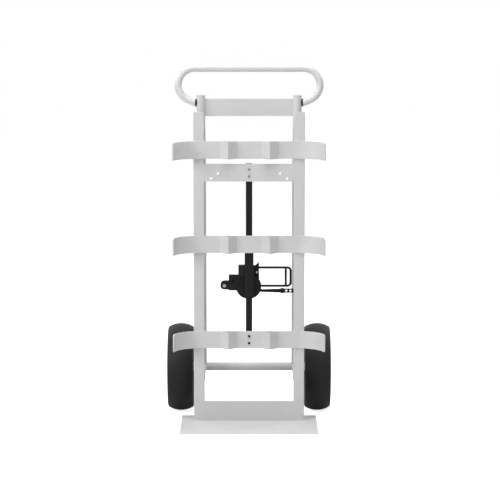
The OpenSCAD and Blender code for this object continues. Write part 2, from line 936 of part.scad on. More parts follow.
module hook_strap() {
    y = rear_y + (cheek_t - strap_t) / 2;
    color(dark)
    difference() {
        upright_sheet(y, strap_t) {
            translate([ball_x, hook_z - strap_h / 2]) square([strap_holes * strap_pitch, strap_h]);
            translate([ball_x + strap_holes * strap_pitch, hook_z]) circle(r = strap_h / 2);
        }
        translate([ball_x, rear_y + cheek_t / 2, hook_z]) sphere(r = ball_r);
        for (i = [1 : strap_holes])
            y_rod([ball_x + i * strap_pitch, y - eps, hook_z], strap_t + 2 * eps, strap_hole_r);
    }
}

module clamp_knob() {
    tip_y = bar_y + bar_side + gap;
    color(dark) {
        y_rod([0, tip_y, clamp_z], knob_y - tip_y, pin_r);
        difference() {
            y_rod([0, knob_y, clamp_z], knob_l, knob_r);
            for (i = [0 : knob_notches - 1]) {
                turn = 360 / knob_notches * i;
                y_rod([knob_notch_circle * cos(turn), knob_y - eps, clamp_z + knob_notch_circle * sin(turn)],
                      knob_l + 2 * eps, knob_notch_r);
            }
        }
    }
}

// Ratchet

// Saw teeth: each rises slowly and drops at its end.
module tooth_outline() {
    pitch = 360 / ratchet_teeth;
    crest = 0.94;
    polygon([for (i = [0 : ratchet_teeth - 1]) each [
        (ratchet_r - tooth_h) * [cos(i * pitch), sin(i * pitch)],
        ratchet_r * [cos((i + crest) * pitch), sin((i + crest) * pitch)]
    ]]);
}

module ratchet_wheel() {
    color(dark)
    difference() {
        upright_sheet(wheel_y, ratchet_t) translate([ratchet_x, ratchet_z]) tooth_outline();
        y_rod([ratchet_x, wheel_y - eps, ratchet_z], ratchet_t + 2 * eps, shaft_r);
    }
}

module ratchet_shaft() {
    color(zinc) {
        y_rod([ratchet_x, sleeve_back + gap, ratchet_z], shaft_end - sleeve_back - gap, shaft_r);
        y_rod([ratchet_x, shaft_end, ratchet_z], cheek_t, shaft_r + cheek_t);
    }
}

module winding_drum() {
    color(dark)
    difference() {
        y_rod([ratchet_x, drum_y, ratchet_z], drum_w, drum_r);
        y_rod([ratchet_x, drum_y - eps, ratchet_z], drum_w + 2 * eps, shaft_r);
    }
}

// Ratchet lever

module lever_plate() {
    boss = shaft_r + lever_t;
    edge = lever_edge - ratchet_x;
    shoulder = arm_high + lever_t;
    slope = 3 * loop_r;
    color(dark)
    difference() {
        upright_sheet(lever_y, lever_t) translate([ratchet_x, ratchet_z]) {
            circle(r = boss);
            polygon([[0, -boss], [edge, arm_low - lever_t], [edge, shoulder + slope],
                     [edge - slope, shoulder], [boss, shoulder], [-boss, 0]]);
        }
        y_rod([ratchet_x, lever_y - eps, ratchet_z], lever_t + 2 * eps, shaft_r + run_gap);
        y_rod([drive_x, lever_y - eps, drive_z], lever_t + 2 * eps, pin_r);
        lever_loop_solid();
    }
}

// Round bar bent to a loop, with a second bar across it near the end.
module lever_loop_solid() {
    y = lever_y + loop_r;
    high = ratchet_z + arm_high;
    low = ratchet_z + arm_low;
    corner_x = loop_end - loop_r - loop_bend;
    root_x = lever_edge - 3 * loop_r;
    for (z = [low, high])
        x_rod([root_x, y, z], corner_x - root_x, loop_r);
    translate([corner_x, y, high - loop_bend]) rotate([90, 0, 0])
        rotate_extrude(angle = 90) translate([loop_bend, 0]) circle(r = loop_r);
    translate([corner_x, y, low + loop_bend]) rotate([90, 0, 0])
        rotate([0, 0, -90]) rotate_extrude(angle = 90) translate([loop_bend, 0]) circle(r = loop_r);
    translate([loop_end - loop_r, y, low + loop_bend]) cylinder(h = high - low - 2 * loop_bend, r = loop_r);
    translate([loop_end - grip_gap, y, low]) cylinder(h = high - low, r = loop_r);
}

module lever_loop() {
    color(dark) lever_loop_solid();
}

module drive_pawl_bolt() {
    color(zinc) {
        y_rod([drive_x, wheel_y, drive_z], lever_y + lever_t - wheel_y, pin_r);
        y_rod([drive_x, wheel_y - screw_head_h, drive_z], screw_head_h, pin_head_r);
    }
}

// A pawl: a round boss on its pin and a finger that ends just off the teeth.
module pawl(at, tip_angle) {
    heel = 0.4;
    nose = pawl_boss / 2;
    tip_r = ratchet_r + pawl_gap;
    tip = [ratchet_x + tip_r * cos(tip_angle), ratchet_z + tip_r * sin(tip_angle)];
    away = [cos(tip_angle), sin(tip_angle)];
    run = tip - at;
    across = pawl_boss * [-run.y, run.x] / norm(run);
    out = away * across > 0 ? across : -across;
    color(dark)
    difference() {
        upright_sheet(wheel_y + gap, pawl_t) {
            translate(at) circle(r = pawl_boss);
            polygon([at + out, at - heel * out, tip, tip + nose * away]);
        }
        y_rod([at.x, wheel_y, at.y], ratchet_t, pin_r + run_gap);
    }
}

module drive_pawl() {
    pawl([drive_x, drive_z], drive_tip_angle);
}

module hold_pawl() {
    pawl([hold_x, hold_z], hold_tip_angle);
}

toe_plate();
left_upright();
right_upright();
upright_caps();
lower_cross_plate();
upper_cross_plate();
top_crossbar();
left_rear_tube();
right_rear_tube();
post_caps();
left_strut();
right_strut();
axle_tube();
axle_shaft();
axle_washers();
axle_nuts();
bottom_cradle();
middle_cradle();
top_cradle();
bottom_dividers();
middle_dividers();
top_dividers();
slide_bar();
bar_spacer();
upper_bar_screws();
lower_bar_screws();
handle_bushes();
handle_tube();
handle_pins();
left_tyre();
left_rim_inner();
left_rim_outer();
left_hub();
left_bearings();
left_rim_bolts();
right_tyre();
right_rim_inner();
right_rim_outer();
right_hub();
right_bearings();
right_rim_bolts();
carriage_sleeve();
stop_block();
front_cheek();
rear_cheek();
cheek_posts();
hold_pawl_pin();
anchor_bolt();
anchor_roller();
hook_arm();
hook_strap();
clamp_knob();
ratchet_wheel();
ratchet_shaft();
winding_drum();
lever_plate();
lever_loop();
drive_pawl_bolt();
drive_pawl();
hold_pawl();
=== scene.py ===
"""Looks of a gas cylinder trolley: smooth tubes, rounded edges, welds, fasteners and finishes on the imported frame."""

import json
import logging
import math
from contextlib import contextmanager
from dataclasses import dataclass, field
from enum import Enum
from typing import Callable, Iterator, Mapping, Sequence

import bmesh
import bpy
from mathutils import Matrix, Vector

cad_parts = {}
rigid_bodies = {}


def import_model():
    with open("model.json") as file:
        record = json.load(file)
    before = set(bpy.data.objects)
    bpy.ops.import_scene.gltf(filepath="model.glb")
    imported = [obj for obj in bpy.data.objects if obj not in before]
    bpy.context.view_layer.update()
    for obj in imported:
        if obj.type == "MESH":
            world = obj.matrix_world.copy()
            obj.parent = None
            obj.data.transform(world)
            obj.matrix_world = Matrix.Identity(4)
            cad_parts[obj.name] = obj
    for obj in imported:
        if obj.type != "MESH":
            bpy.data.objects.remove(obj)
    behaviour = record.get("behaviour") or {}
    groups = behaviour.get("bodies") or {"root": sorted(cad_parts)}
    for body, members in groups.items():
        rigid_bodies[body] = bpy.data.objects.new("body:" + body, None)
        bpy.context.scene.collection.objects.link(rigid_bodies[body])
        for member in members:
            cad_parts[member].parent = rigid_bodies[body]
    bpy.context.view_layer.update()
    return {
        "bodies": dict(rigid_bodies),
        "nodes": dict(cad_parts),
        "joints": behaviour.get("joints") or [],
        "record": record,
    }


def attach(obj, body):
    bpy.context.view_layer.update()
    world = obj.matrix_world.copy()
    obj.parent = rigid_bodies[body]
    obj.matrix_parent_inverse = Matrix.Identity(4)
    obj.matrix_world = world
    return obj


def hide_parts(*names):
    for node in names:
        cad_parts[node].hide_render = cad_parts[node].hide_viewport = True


LOG = logging.getLogger("trolley")
PHOTO_PX = 500
FRAME_BODY = "frame"

Piece = bpy.types.Object
Socket = bpy.types.NodeSocket
Pair = tuple[float, float]
Point = tuple[float, float, float]
Colour = tuple[float, float, float]

# Measures that several assemblies share, in metres
INNER_X = 0.1925
OUTER_X = 0.2385
UPRIGHT_DEPTH = 0.030
POST_X = 0.207
POST_Y = 0.049
POST_R = 0.019
POST_TOP = 1.413
AXLE: Pair = (0.285, 0.194)
STRUT = 0.030
SHEET = 0.006
STRIP = 0.075
STRIP_BASES = {"bottom": 0.327, "middle": 0.742, "top": 1.148}
LOWER_PLATE: Pair = (0.008, 0.094)
UPPER_PLATE: Pair = (1.050, 1.126)
LAP = 0.001
DRILL_LEAD = 0.01
DRILL_LENGTH = 0.03

# Limits of modelling
SAME_POINT = 1e-6
NEAR_POINT = 1e-5
MOSTLY = 0.9
SMOOTH_BELOW = 32.0


class Element(Enum):
    """Kind of mesh element that is selected in edit mode."""

    VERT = "VERT"
    EDGE = "EDGE"
    FACE = "FACE"


class Side(Enum):
    """Side of the trolley, seen from the toe plate."""

    LEFT = -1
    RIGHT = 1

    @property
    def word(self) -> str:
        """Name of the side as the CAD nodes spell it."""
        return self.name.lower()


class Axis(Enum):
    """Unit directions of the shared frame."""

    X = (1.0, 0.0, 0.0)
    Y = (0.0, 1.0, 0.0)
    Z = (0.0, 0.0, 1.0)

    @property
    def turn(self) -> Point:
        """Rotation that lays a primitive along the axis."""
        return {"X": (0.0, math.pi / 2, 0.0), "Y": (math.pi / 2, 0.0, 0.0), "Z": (0.0, 0.0, 0.0)}[self.name]


# Finishes


class NodeSheet:
    """A node tree, with short calls to add and join nodes."""

    ramp_span: Pair = (0.3, 0.7)

    def __init__(self, tree: bpy.types.NodeTree) -> None:
        """Keeps the node tree of a material or a world."""
        self.tree = tree

    def fill(self, node: bpy.types.Node, inputs: Mapping) -> None:
        """Sets a node's inputs, or joins them to other nodes.

        Args:
            node: Node to fill.
            inputs: A constant or another node's output for each input.
        """
        for key, value in inputs.items():
            if isinstance(value, Socket):
                self.tree.links.new(value, node.inputs[key])
            else:
                node.inputs[key].default_value = value

    def add(self, kind: str, inputs: Mapping, operation: str = "") -> bpy.types.Node:
        """Adds a node.

        Args:
            kind: Type of the node, without its prefix.
            inputs: A constant or another node's output for each input.
            operation: What a maths node does.

        Returns:
            The node.
        """
        node = self.tree.nodes.new(f"ShaderNode{kind}")
        if operation:
            node.operation = operation
        self.fill(node, inputs)
        return node

    def noise(self, scale: float, detail: float, stretch: Sequence[float]) -> Socket:
        """Adds noise on the piece's own coordinates.

        Args:
            scale: Waves per metre.
            detail: Number of finer octaves.
            stretch: Factor on the scale along each axis.

        Returns:
            The noise's value.
        """
        place = self.add("TexCoord", {}).outputs["Object"]
        mapping = self.add("Mapping", {"Vector": place, "Scale": stretch}).outputs["Vector"]
        return self.add("TexNoise", {"Vector": mapping, "Scale": scale, "Detail": detail}).outputs["Fac"]

    def ramp(self, value: Socket, low: Colour, high: Colour) -> Socket:
        """Turns a value into a colour between two colours.

        Args:
            value: Value that drives the ramp.
            low: Colour below the span.
            high: Colour above the span.

        Returns:
            The colour.
        """
        node = self.add("ValToRGB", {"Fac": value})
        for stop, place, colour in zip(node.color_ramp.elements, self.ramp_span, (low, high)):
            stop.position, stop.color = place, (*colour, 1.0)
        return node.outputs["Color"]


@dataclass(frozen=True)
class Finish:
    """A coat with soft clouds of colour, uneven gloss and a fine grain, named as its material slot."""

    slot: str
    pale: Colour
    deep: Colour
    gloss: Pair
    cloud: float = 9.0
    cloud_detail: float = 4.0
    grain: float = 900.0
    grain_detail: float = 3.0
    grain_depth: float = 0.00012
    grain_share: float = 0.25
    metallic: float = 0.0
    specular: float = 0.5
    stretch: Point = (1.0, 1.0, 1.0)

    def make(self) -> bpy.types.Material:
        """Builds the material.

        Returns:
            The new material.
        """
        material = bpy.data.materials.new(self.slot)
        material.use_nodes = True
        sheet = NodeSheet(material.node_tree)
        clouds = sheet.noise(self.cloud, self.cloud_detail, self.stretch)
        grain = sheet.noise(self.grain, self.grain_detail, self.stretch)
        gloss = sheet.add("MapRange", {"Value": clouds, "To Min": self.gloss[0], "To Max": self.gloss[1]})
        bump = sheet.add("Bump", {"Height": grain, "Strength": self.grain_share, "Distance": self.grain_depth})
        sheet.fill(sheet.tree.nodes["Principled BSDF"], {
            "Base Color": sheet.ramp(clouds, self.deep, self.pale), "Roughness": gloss.outputs["Result"],
            "Normal": bump.outputs["Normal"], "Metallic": self.metallic, "Specular IOR Level": self.specular})
        return material


FRAME_PAINT = Finish("frame_paint", (0.595, 0.598, 0.601), (0.565, 0.568, 0.572), (0.44, 0.56), specular=0.4)
HANDLE_PAINT = Finish("handle_paint", (0.650, 0.650, 0.649), (0.625, 0.625, 0.624), (0.24, 0.32), specular=0.5)
RIM_PAINT = Finish("rim_paint", (0.540, 0.545, 0.550), (0.490, 0.495, 0.502), (0.40, 0.52), specular=0.35)
BLACK_STEEL = Finish("black_steel", (0.0090, 0.0090, 0.0095), (0.0055, 0.0055, 0.0060), (0.40, 0.55),
                     cloud=22.0, specular=0.18)
ZINC = Finish("zinc_steel", (0.36, 0.365, 0.37), (0.27, 0.275, 0.28), (0.24, 0.42), cloud=60.0, grain=1500.0,
              grain_share=0.12, metallic=1.0, stretch=(1.0, 3.0, 1.0))
RUBBER = Finish("tyre_rubber", (0.0090, 0.0090, 0.0094), (0.0064, 0.0064, 0.0068), (0.50, 0.64), cloud=14.0,
                grain=420.0, grain_depth=0.00025, grain_share=0.35, specular=0.24)
CAP_PLASTIC = Finish("cap_plastic", (0.470, 0.474, 0.480), (0.430, 0.434, 0.440), (0.45, 0.60),
                     grain=1300.0, specular=0.3)
BUSH_PLASTIC = Finish("bush_plastic", (0.010, 0.010, 0.010), (0.007, 0.007, 0.007), (0.40, 0.55),
                      grain=1300.0, specular=0.2)
KNOB_PLASTIC = Finish("knob_plastic", (0.012, 0.012, 0.012), (0.008, 0.008, 0.008), (0.35, 0.50),
                      grain=1300.0, specular=0.3)
FINISHES: tuple[Finish, ...] = (FRAME_PAINT, HANDLE_PAINT, RIM_PAINT, BLACK_STEEL, ZINC, RUBBER,
                                CAP_PLASTIC, BUSH_PLASTIC, KNOB_PLASTIC)


class PaintShop:
    """Makes each finish once and puts it on pieces."""

    def __init__(self) -> None:
        """Makes every finish of the trolley."""
        self.made: dict[str, bpy.types.Material] = {finish.slot: finish.make() for finish in FINISHES}

    def coat(self, piece: Piece, slot: str) -> None:
        """Gives a piece the finish of one material slot all over."""
        piece.data.materials.clear()
        piece.data.materials.append(self.made[slot])

    def coat_nodes(self, frame: dict) -> None:
        """Gives every CAD node of the loaded frame its finish."""
        for entry in frame["record"]["subparts"]:
            self.coat(frame["nodes"][entry["node"]], entry["material_slot"])


# Modelling


@dataclass(frozen=True)
class Rounding:
    """How the sharp edges of a piece are rounded; without a width the piece is only shaded."""

    width: float = 0.0
    segments: int = 3
    sharper_than: float = 30.0


SHADED = Rounding()
BOX_TUBE_EDGE = Rounding(0.0004, 2, 50.0)
TOE_EDGE = Rounding(0.0005, 2)
LOWER_PLATE_EDGE = Rounding(0.0008)
UPPER_PLATE_EDGE = Rounding(0.0007, 2)
CROSSBAR_EDGE = Rounding(0.0009)
STRUT_EDGE = Rounding(0.002, 4)
AXLE_TUBE_EDGE = Rounding(0.0008, 2, 50.0)
SHAFT_EDGE = Rounding(0.0012, 3, 50.0)
NUT_EDGE = Rounding(0.0009, 3, 40.0)
STRIP_EDGE = Rounding(0.0009, 2)
DIVIDER_EDGE = Rounding(0.0006, 2, 40.0)
RIM_EDGE = Rounding(0.0012)
HUB_EDGE = Rounding(0.001)
BLOCK_EDGE = Rounding(0.0015)
CHEEK_EDGE = Rounding(0.0006, 2, 40.0)
KNOB_EDGE = Rounding(0.0018, 4, 40.0)


def clear_selection() -> None:
    """Leaves edit mode and deselects everything."""
    if bpy.context.object is not None and bpy.context.object.mode != "OBJECT":
        bpy.ops.object.mode_set(mode="OBJECT")
    bpy.ops.object.select_all(action="DESELECT")


def hold(piece: Piece) -> None:
    """Selects one piece alone and makes it active.

    Args:
        piece: Object to hold.
    """
    clear_selection()
    piece.select_set(True)
    bpy.context.view_layer.objects.active = piece


def take_new(name: str, scale: Sequence[float] = (1.0, 1.0, 1.0)) -> Piece:
    """Names the primitive that was just added and fixes its place in its mesh.

    Args:
        name: Name of the piece.
        scale: Size of the primitive along its own axes.

    Returns:
        The piece, at the origin and unscaled.
    """
    piece = bpy.context.active_object
    piece.name = name
    piece.data.name = name
    piece.scale = scale
    bpy.ops.object.transform_apply(location=True, rotation=True, scale=True)
    return piece


def modify(piece: Piece, kind: str, **settings: object) -> None:
    """Puts a modifier on a piece and applies it.

    Args:
        piece: Object to change.
        kind: Type of the modifier.
        settings: Values of the modifier's properties.
    """
    hold(piece)
    bpy.ops.object.modifier_add(type=kind)
    modifier = piece.modifiers[-1]
    for key, value in settings.items():
        setattr(modifier, key, value)
    bpy.ops.object.modifier_apply(modifier=modifier.name)


@contextmanager
def editing(piece: Piece, element: Element, everything: bool = False) -> Iterator[None]:
    """Opens a piece in edit mode with all or nothing selected.

    Args:
        piece: Object to edit.
        element: Kind of element that is selected.
        everything: Whether all elements are selected.

    Yields:
        Nothing.
    """
    hold(piece)
    bpy.ops.object.mode_set(mode="EDIT")
    bpy.ops.mesh.select_mode(type=element.value)
    bpy.ops.mesh.select_all(action="SELECT" if everything else "DESELECT")
    yield
    bpy.ops.object.mode_set(mode="OBJECT")


def pick(piece: Piece, element: Element, wanted: Callable[..., bool]) -> int:
    """Selects the elements that pass a test, and only those.

    Args:
        piece: Object in edit mode.
        element: Kind of element.
        wanted: Test of one element.

    Returns:
        How many elements were selected.
    """
    bpy.ops.mesh.select_all(action="DESELECT")
    mesh = bmesh.from_edit_mesh(piece.data)
    mesh.normal_update()
    groups = {Element.VERT: mesh.verts, Element.EDGE: mesh.edges, Element.FACE: mesh.faces}
    chosen = [item for item in groups[element] if wanted(item)]
    for item in chosen:
        item.select_set(True)
    mesh.select_flush_mode()
    bmesh.update_edit_mesh(piece.data)
    return len(chosen)


def round_picked(piece: Piece, offset: float, segments: int, wanted: Callable[..., bool]) -> None:
    """Rounds the edges that pass a test, on a piece in edit mode."""
    pick(piece, Element.EDGE, wanted)
    bpy.ops.mesh.bevel(offset=offset, segments=segments, affect="EDGES")


def middle(edge: bmesh.types.BMEdge) -> Vector:
    """Gives the middle of an edge."""
    return (edge.verts[0].co + edge.verts[1].co) / 2


def climb(edge: bmesh.types.BMEdge) -> float:
    """Gives how much of an edge's direction is along Z, from 0 to 1."""
    return abs((edge.verts[1].co - edge.verts[0].co).normalized().z)


def soften(piece: Piece, edge: Rounding) -> None:
    """Rounds the sharp edges of a piece and shades it smooth between them.

    Args:
        piece: Object to finish.
        edge: How its edges are rounded.
    """
    hold(piece)
    if edge.width > 0:
        modify(piece, "BEVEL", width=edge.width, segments=edge.segments, limit_method="ANGLE",
               angle_limit=math.radians(edge.sharper_than), use_clamp_overlap=True)
        with editing(piece, Element.VERT, everything=True):
            bpy.ops.mesh.dissolve_degenerate(threshold=NEAR_POINT)
    bpy.ops.object.shade_smooth_by_angle(angle=math.radians(SMOOTH_BELOW))
    if edge.width > 0:
        modify(piece, "WEIGHTED_NORMAL", keep_sharp=True)


def outward(piece: Piece, merge: float = SAME_POINT) -> None:
    """Merges doubled points and turns all faces outward.

    Args:
        piece: Object to clean.
        merge: Distance under which points are one.
    """
    with editing(piece, Element.VERT, everything=True):
        bpy.ops.mesh.remove_doubles(threshold=merge)
        bpy.ops.mesh.normals_make_consistent(inside=False)


def close_ends(piece: Piece) -> None:
    """Closes the open ends of a swept bar.

    Args:
        piece: The bar.
    """
    with editing(piece, Element.EDGE, everything=True):
        bpy.ops.mesh.fill_holes(sides=0)
    outward(piece)


def add_block(name: str, low: Sequence[float], high: Sequence[float]) -> Piece:
    """Adds a block between two corners, as the start of a piece.

    Args:
        name: Name of the piece.
        low: Lowest corner.
        high: Highest corner.

    Returns:
        The block.
    """
    clear_selection()
    low_corner, high_corner = Vector(low), Vector(high)
    bpy.ops.mesh.primitive_cube_add(size=1.0, location=(low_corner + high_corner) / 2)
    return take_new(name, high_corner - low_corner)


def add_rod(name: str, start: Sequence[float], axis: Axis, length: float, radius: float, steps: int = 48) -> Piece:
    """Adds a round bar along an axis, as the start of a piece.

    Args:
        name: Name of the piece.
        start: Middle of its lower end.
        axis: Direction of the bar.
        length: Its length.
        radius: Its radius.
        steps: Steps round the bar.

    Returns:
        The bar.
    """
    clear_selection()
    bpy.ops.mesh.primitive_cylinder_add(vertices=steps, radius=radius, depth=length, rotation=axis.turn,
                                        location=Vector(start) + Vector(axis.value) * (length / 2))
    return take_new(name)


def add_ring(name: str, centre: Sequence[float], axis: Axis, radius: float, steps: int = 48) -> Piece:
    """Adds a ring of edges about an axis, as the start of a swept bar.

    Args:
        name: Name of the piece.
        centre: Middle of the ring.
        axis: Axis of the ring.
        radius: Its radius.
        steps: Steps round the ring.

    Returns:
        The ring.
    """
    clear_selection()
    bpy.ops.mesh.primitive_circle_add(vertices=steps, radius=radius, fill_type="NOTHING", location=centre,
                                      rotation=axis.turn)
    return take_new(name)


def merge_in(piece: Piece, tool: Piece, cut: bool = False) -> None:
    """Adds a tool's shape to a piece or cuts it out, and drops the tool.

    Args:
        piece: Object that stays.
        tool: Object that is used up.
        cut: Whether the tool's shape is cut out.
    """
    modify(piece, "BOOLEAN", operation="DIFFERENCE" if cut else "UNION", object=tool)
    hold(tool)
    bpy.ops.object.delete()


def drill(piece: Piece, start: Sequence[float], axis: Axis, length: float, radius: float) -> None:
    """Cuts a round hole into a piece, from the middle of the hole's lower end."""
    merge_in(piece, add_rod("drill", start, axis, length, radius), cut=True)


def turn_profile(name: str, centre: Sequence[float], points: Sequence[Pair], steps: int = 96) -> Piece:
    """Draws a closed profile point by point and turns it round the X axis.

    Args:
        name: Name of the piece.
        centre: Point on the axis.
        points: Distance along the axis and radius of each corner.
        steps: Steps round the axis.

    Returns:
        The turned piece.
    """
    clear_selection()
    first = Vector((points[0][0], 0.0, points[0][1]))
    bpy.ops.mesh.primitive_plane_add(size=LAP, location=Vector(centre) + first)
    piece = take_new(name)
    with editing(piece, Element.VERT, everything=True):
        bpy.ops.mesh.merge(type="CENTER")
        for start, end in zip(points, (*points[1:], points[0])):
            move = (end[0] - start[0], 0.0, end[1] - start[1])
            bpy.ops.mesh.extrude_region_move(TRANSFORM_OT_translate={"value": move})
        bpy.ops.mesh.select_all(action="SELECT")
        bpy.ops.mesh.remove_doubles(threshold=SAME_POINT)
        bpy.ops.mesh.spin(steps=steps, angle=math.tau, center=centre, axis=Axis.X.value)
    outward(piece, NEAR_POINT)
    return piece


def copy_piece(piece: Piece, name: str, move: Sequence[float]) -> Piece:
    """Copies a piece with a mesh of its own, moved by a vector.

    Args:
        piece: Object to copy.
        name: Name of the copy.
        move: Vector from the piece to its copy.

    Returns:
        The copy, at the origin.
    """
    hold(piece)
    bpy.ops.object.duplicate(linked=False)
    bpy.context.active_object.location = move
    return take_new(name)


def join_pieces(pieces: Sequence[Piece], name: str) -> Piece:
    """Joins pieces into one object.

    Args:
        pieces: Objects to join.
        name: Name of the result.

    Returns:
        The joined object.
    """
    hold(pieces[0])
    for piece in pieces:
        piece.select_set(True)
    bpy.ops.object.join()
    return take_new(name)


@dataclass(frozen=True)
class Run:
    """A straight stretch of a swept bar."""

    move: Point

    def sweep(self) -> None:
        """Extrudes the selected loop along the stretch."""
        bpy.ops.mesh.extrude_region_move(TRANSFORM_OT_translate={"value": self.move})


@dataclass(frozen=True)
class Bend:
    """A bend of a swept bar about a centre."""

    centre: Point
    axis: Axis
    degrees: float
    steps: int = 18

    def sweep(self) -> None:
        """Spins the selected loop about the centre, by the right-hand rule."""
        bpy.ops.mesh.spin(steps=self.steps, angle=-math.radians(self.degrees), center=self.centre,
                          axis=self.axis.value)


def sweep_loop(piece: Piece, moves: Sequence[Run | Bend]) -> None:
    """Sweeps a piece that is one loop of edges along a route.

    Args:
        piece: Object with the loop.
        moves: Stretches and bends in order.
    """
    with editing(piece, Element.EDGE, everything=True):
        for move in moves:
            move.sweep()


def thicken(piece: Piece, wall: float) -> None:
    """Gives an open shape with outward faces its wall, inward from its skin."""
    modify(piece, "SOLIDIFY", thickness=wall, offset=-1.0, use_even_offset=True)


@dataclass
class Assembly:
    """A sub-assembly that builds its pieces and hands them to the frame."""

    shop: PaintShop
    body: str = FRAME_BODY

    def fit(self, piece: Piece, finish: Finish, *nodes: str, edge: Rounding | None = None, body: str = "") -> None:
        """Finishes a piece, puts it on its body and hides the CAD nodes that it stands for.

        Args:
            piece: The modelled piece.
            finish: Finish of the piece.
            nodes: CAD nodes that it stands for.
            edge: How its edges are rounded, if that isn't done yet.
            body: Body that it rides on, if not the assembly's own.
        """
        if edge is not None:
            soften(piece, edge)
        self.shop.coat(piece, finish.slot)
        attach(piece, body or self.body)
        if nodes:
            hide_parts(*nodes)
        LOG.info("%s: %d faces on %s", piece.name, len(piece.data.polygons), body or self.body)

    def build(self) -> None:
        """Builds and dresses the pieces."""
        raise NotImplementedError


@dataclass
class BoxTube:
    """A straight rectangular tube along Z with rounded corners."""

    low: Point
    high: Point
    wall: float
    corner: float
    corner_steps: int = 5

    def make(self, name: str) -> Piece:
        """Models the tube.

        Args:
            name: Name of the piece.

        Returns:
            The tube, open at both ends.
        """
        tube = add_block(name, self.low, self.high)
        with editing(tube, Element.EDGE):
            round_picked(tube, self.corner, self.corner_steps, lambda edge: climb(edge) > MOSTLY)
            bpy.ops.mesh.select_mode(type=Element.FACE.value)
            pick(tube, Element.FACE, lambda face: abs(face.normal.z) > MOSTLY)
            bpy.ops.mesh.inset(thickness=self.wall, depth=0.0)
            bpy.ops.mesh.bridge_edge_loops()
        outward(tube)
        soften(tube, BOX_TUBE_EDGE)
        return tube


# Frame


@dataclass
class ToePlate(Assembly):
    """The plate that the cylinders stand on, with a sloped front edge."""

    half_width: float = 0.294
    front: float = -0.240
    back: float = 0.110
    thickness: float = 0.008
    slope: float = 0.010

    def build(self) -> None:
        """Cuts the front slope and rounds the edges."""
        plate = add_block("toe_plate_sheet", (-self.half_width, self.front, 0.0),
                          (self.half_width, self.back, self.thickness))
        with editing(plate, Element.VERT, everything=True):
            bpy.ops.mesh.bisect(plane_co=(0.0, self.front + self.slope, self.thickness),
                                plane_no=Vector((0.0, -self.thickness / 2, self.slope)).normalized(),
                                use_fill=True, clear_outer=True)
        outward(plate)
        self.fit(plate, FRAME_PAINT, "toe_plate", edge=TOE_EDGE)


@dataclass
class Uprights(Assembly):
    """The two rectangular tubes and the plate between their feet."""

    top: float = 1.346
    wall: float = 0.003
    corner: float = 0.0036

    def build(self) -> None:
        """Models both tubes and the lower cross plate."""
        foot, plate_top = LOWER_PLATE
        for side in Side:
            low, high = sorted((side.value * INNER_X, side.value * OUTER_X))
            tube = BoxTube((low, 0.0, foot), (high, UPRIGHT_DEPTH, self.top), self.wall, self.corner)
            self.fit(tube.make(f"{side.word}_upright_tube"), FRAME_PAINT, f"{side.word}_upright")
        plate = add_block("lower_cross_sheet", (-INNER_X, 0.0, foot), (INNER_X, SHEET, plate_top))
        self.fit(plate, FRAME_PAINT, "lower_cross_plate", edge=LOWER_PLATE_EDGE)


@dataclass
class UpperPlates(Assembly):
    """The upper cross plate with its bolt holes, the top crossbar and the post caps."""

    holes: tuple[Pair, ...] = ((0.133, 1.085), (0.1625, 1.063))
    hole: float = 0.0055
    bar_base: float = 1.328
    bar_height: float = 0.074
    cap: float = 0.004
    cap_round: float = 0.0024
    cap_steps: int = 5

    def build(self) -> None:
        """Models the plates and the caps."""
        base, top = UPPER_PLATE
        plate = add_block("upper_cross_sheet", (-INNER_X, 0.0, base), (INNER_X, SHEET, top))
        for side in Side:
            for x, z in self.holes:
                drill(plate, (side.value * x, -DRILL_LEAD, z), Axis.Y, DRILL_LENGTH, self.hole)
        self.fit(plate, FRAME_PAINT, "upper_cross_plate", edge=UPPER_PLATE_EDGE)
        half, reach = SHEET / 2, POST_X - POST_R + LAP
        bar = add_block("crossbar_sheet", (-reach, POST_Y - half, self.bar_base),
                        (reach, POST_Y + half, self.bar_base + self.bar_height))
        self.fit(bar, FRAME_PAINT, "top_crossbar", edge=CROSSBAR_EDGE)
        caps = []
        for side in Side:
            cap = add_rod(f"cap_{side.word}", (side.value * POST_X, POST_Y, POST_TOP), Axis.Z, self.cap, POST_R)
            rim = POST_TOP + MOSTLY * self.cap
            with editing(cap, Element.EDGE):
                round_picked(cap, self.cap_round, self.cap_steps,
                             lambda edge: all(vert.co.z > rim for vert in edge.verts))
            caps.append(cap)
        self.fit(join_pieces(caps, "post_cap_pair"), CAP_PLASTIC, "post_caps", edge=SHADED)


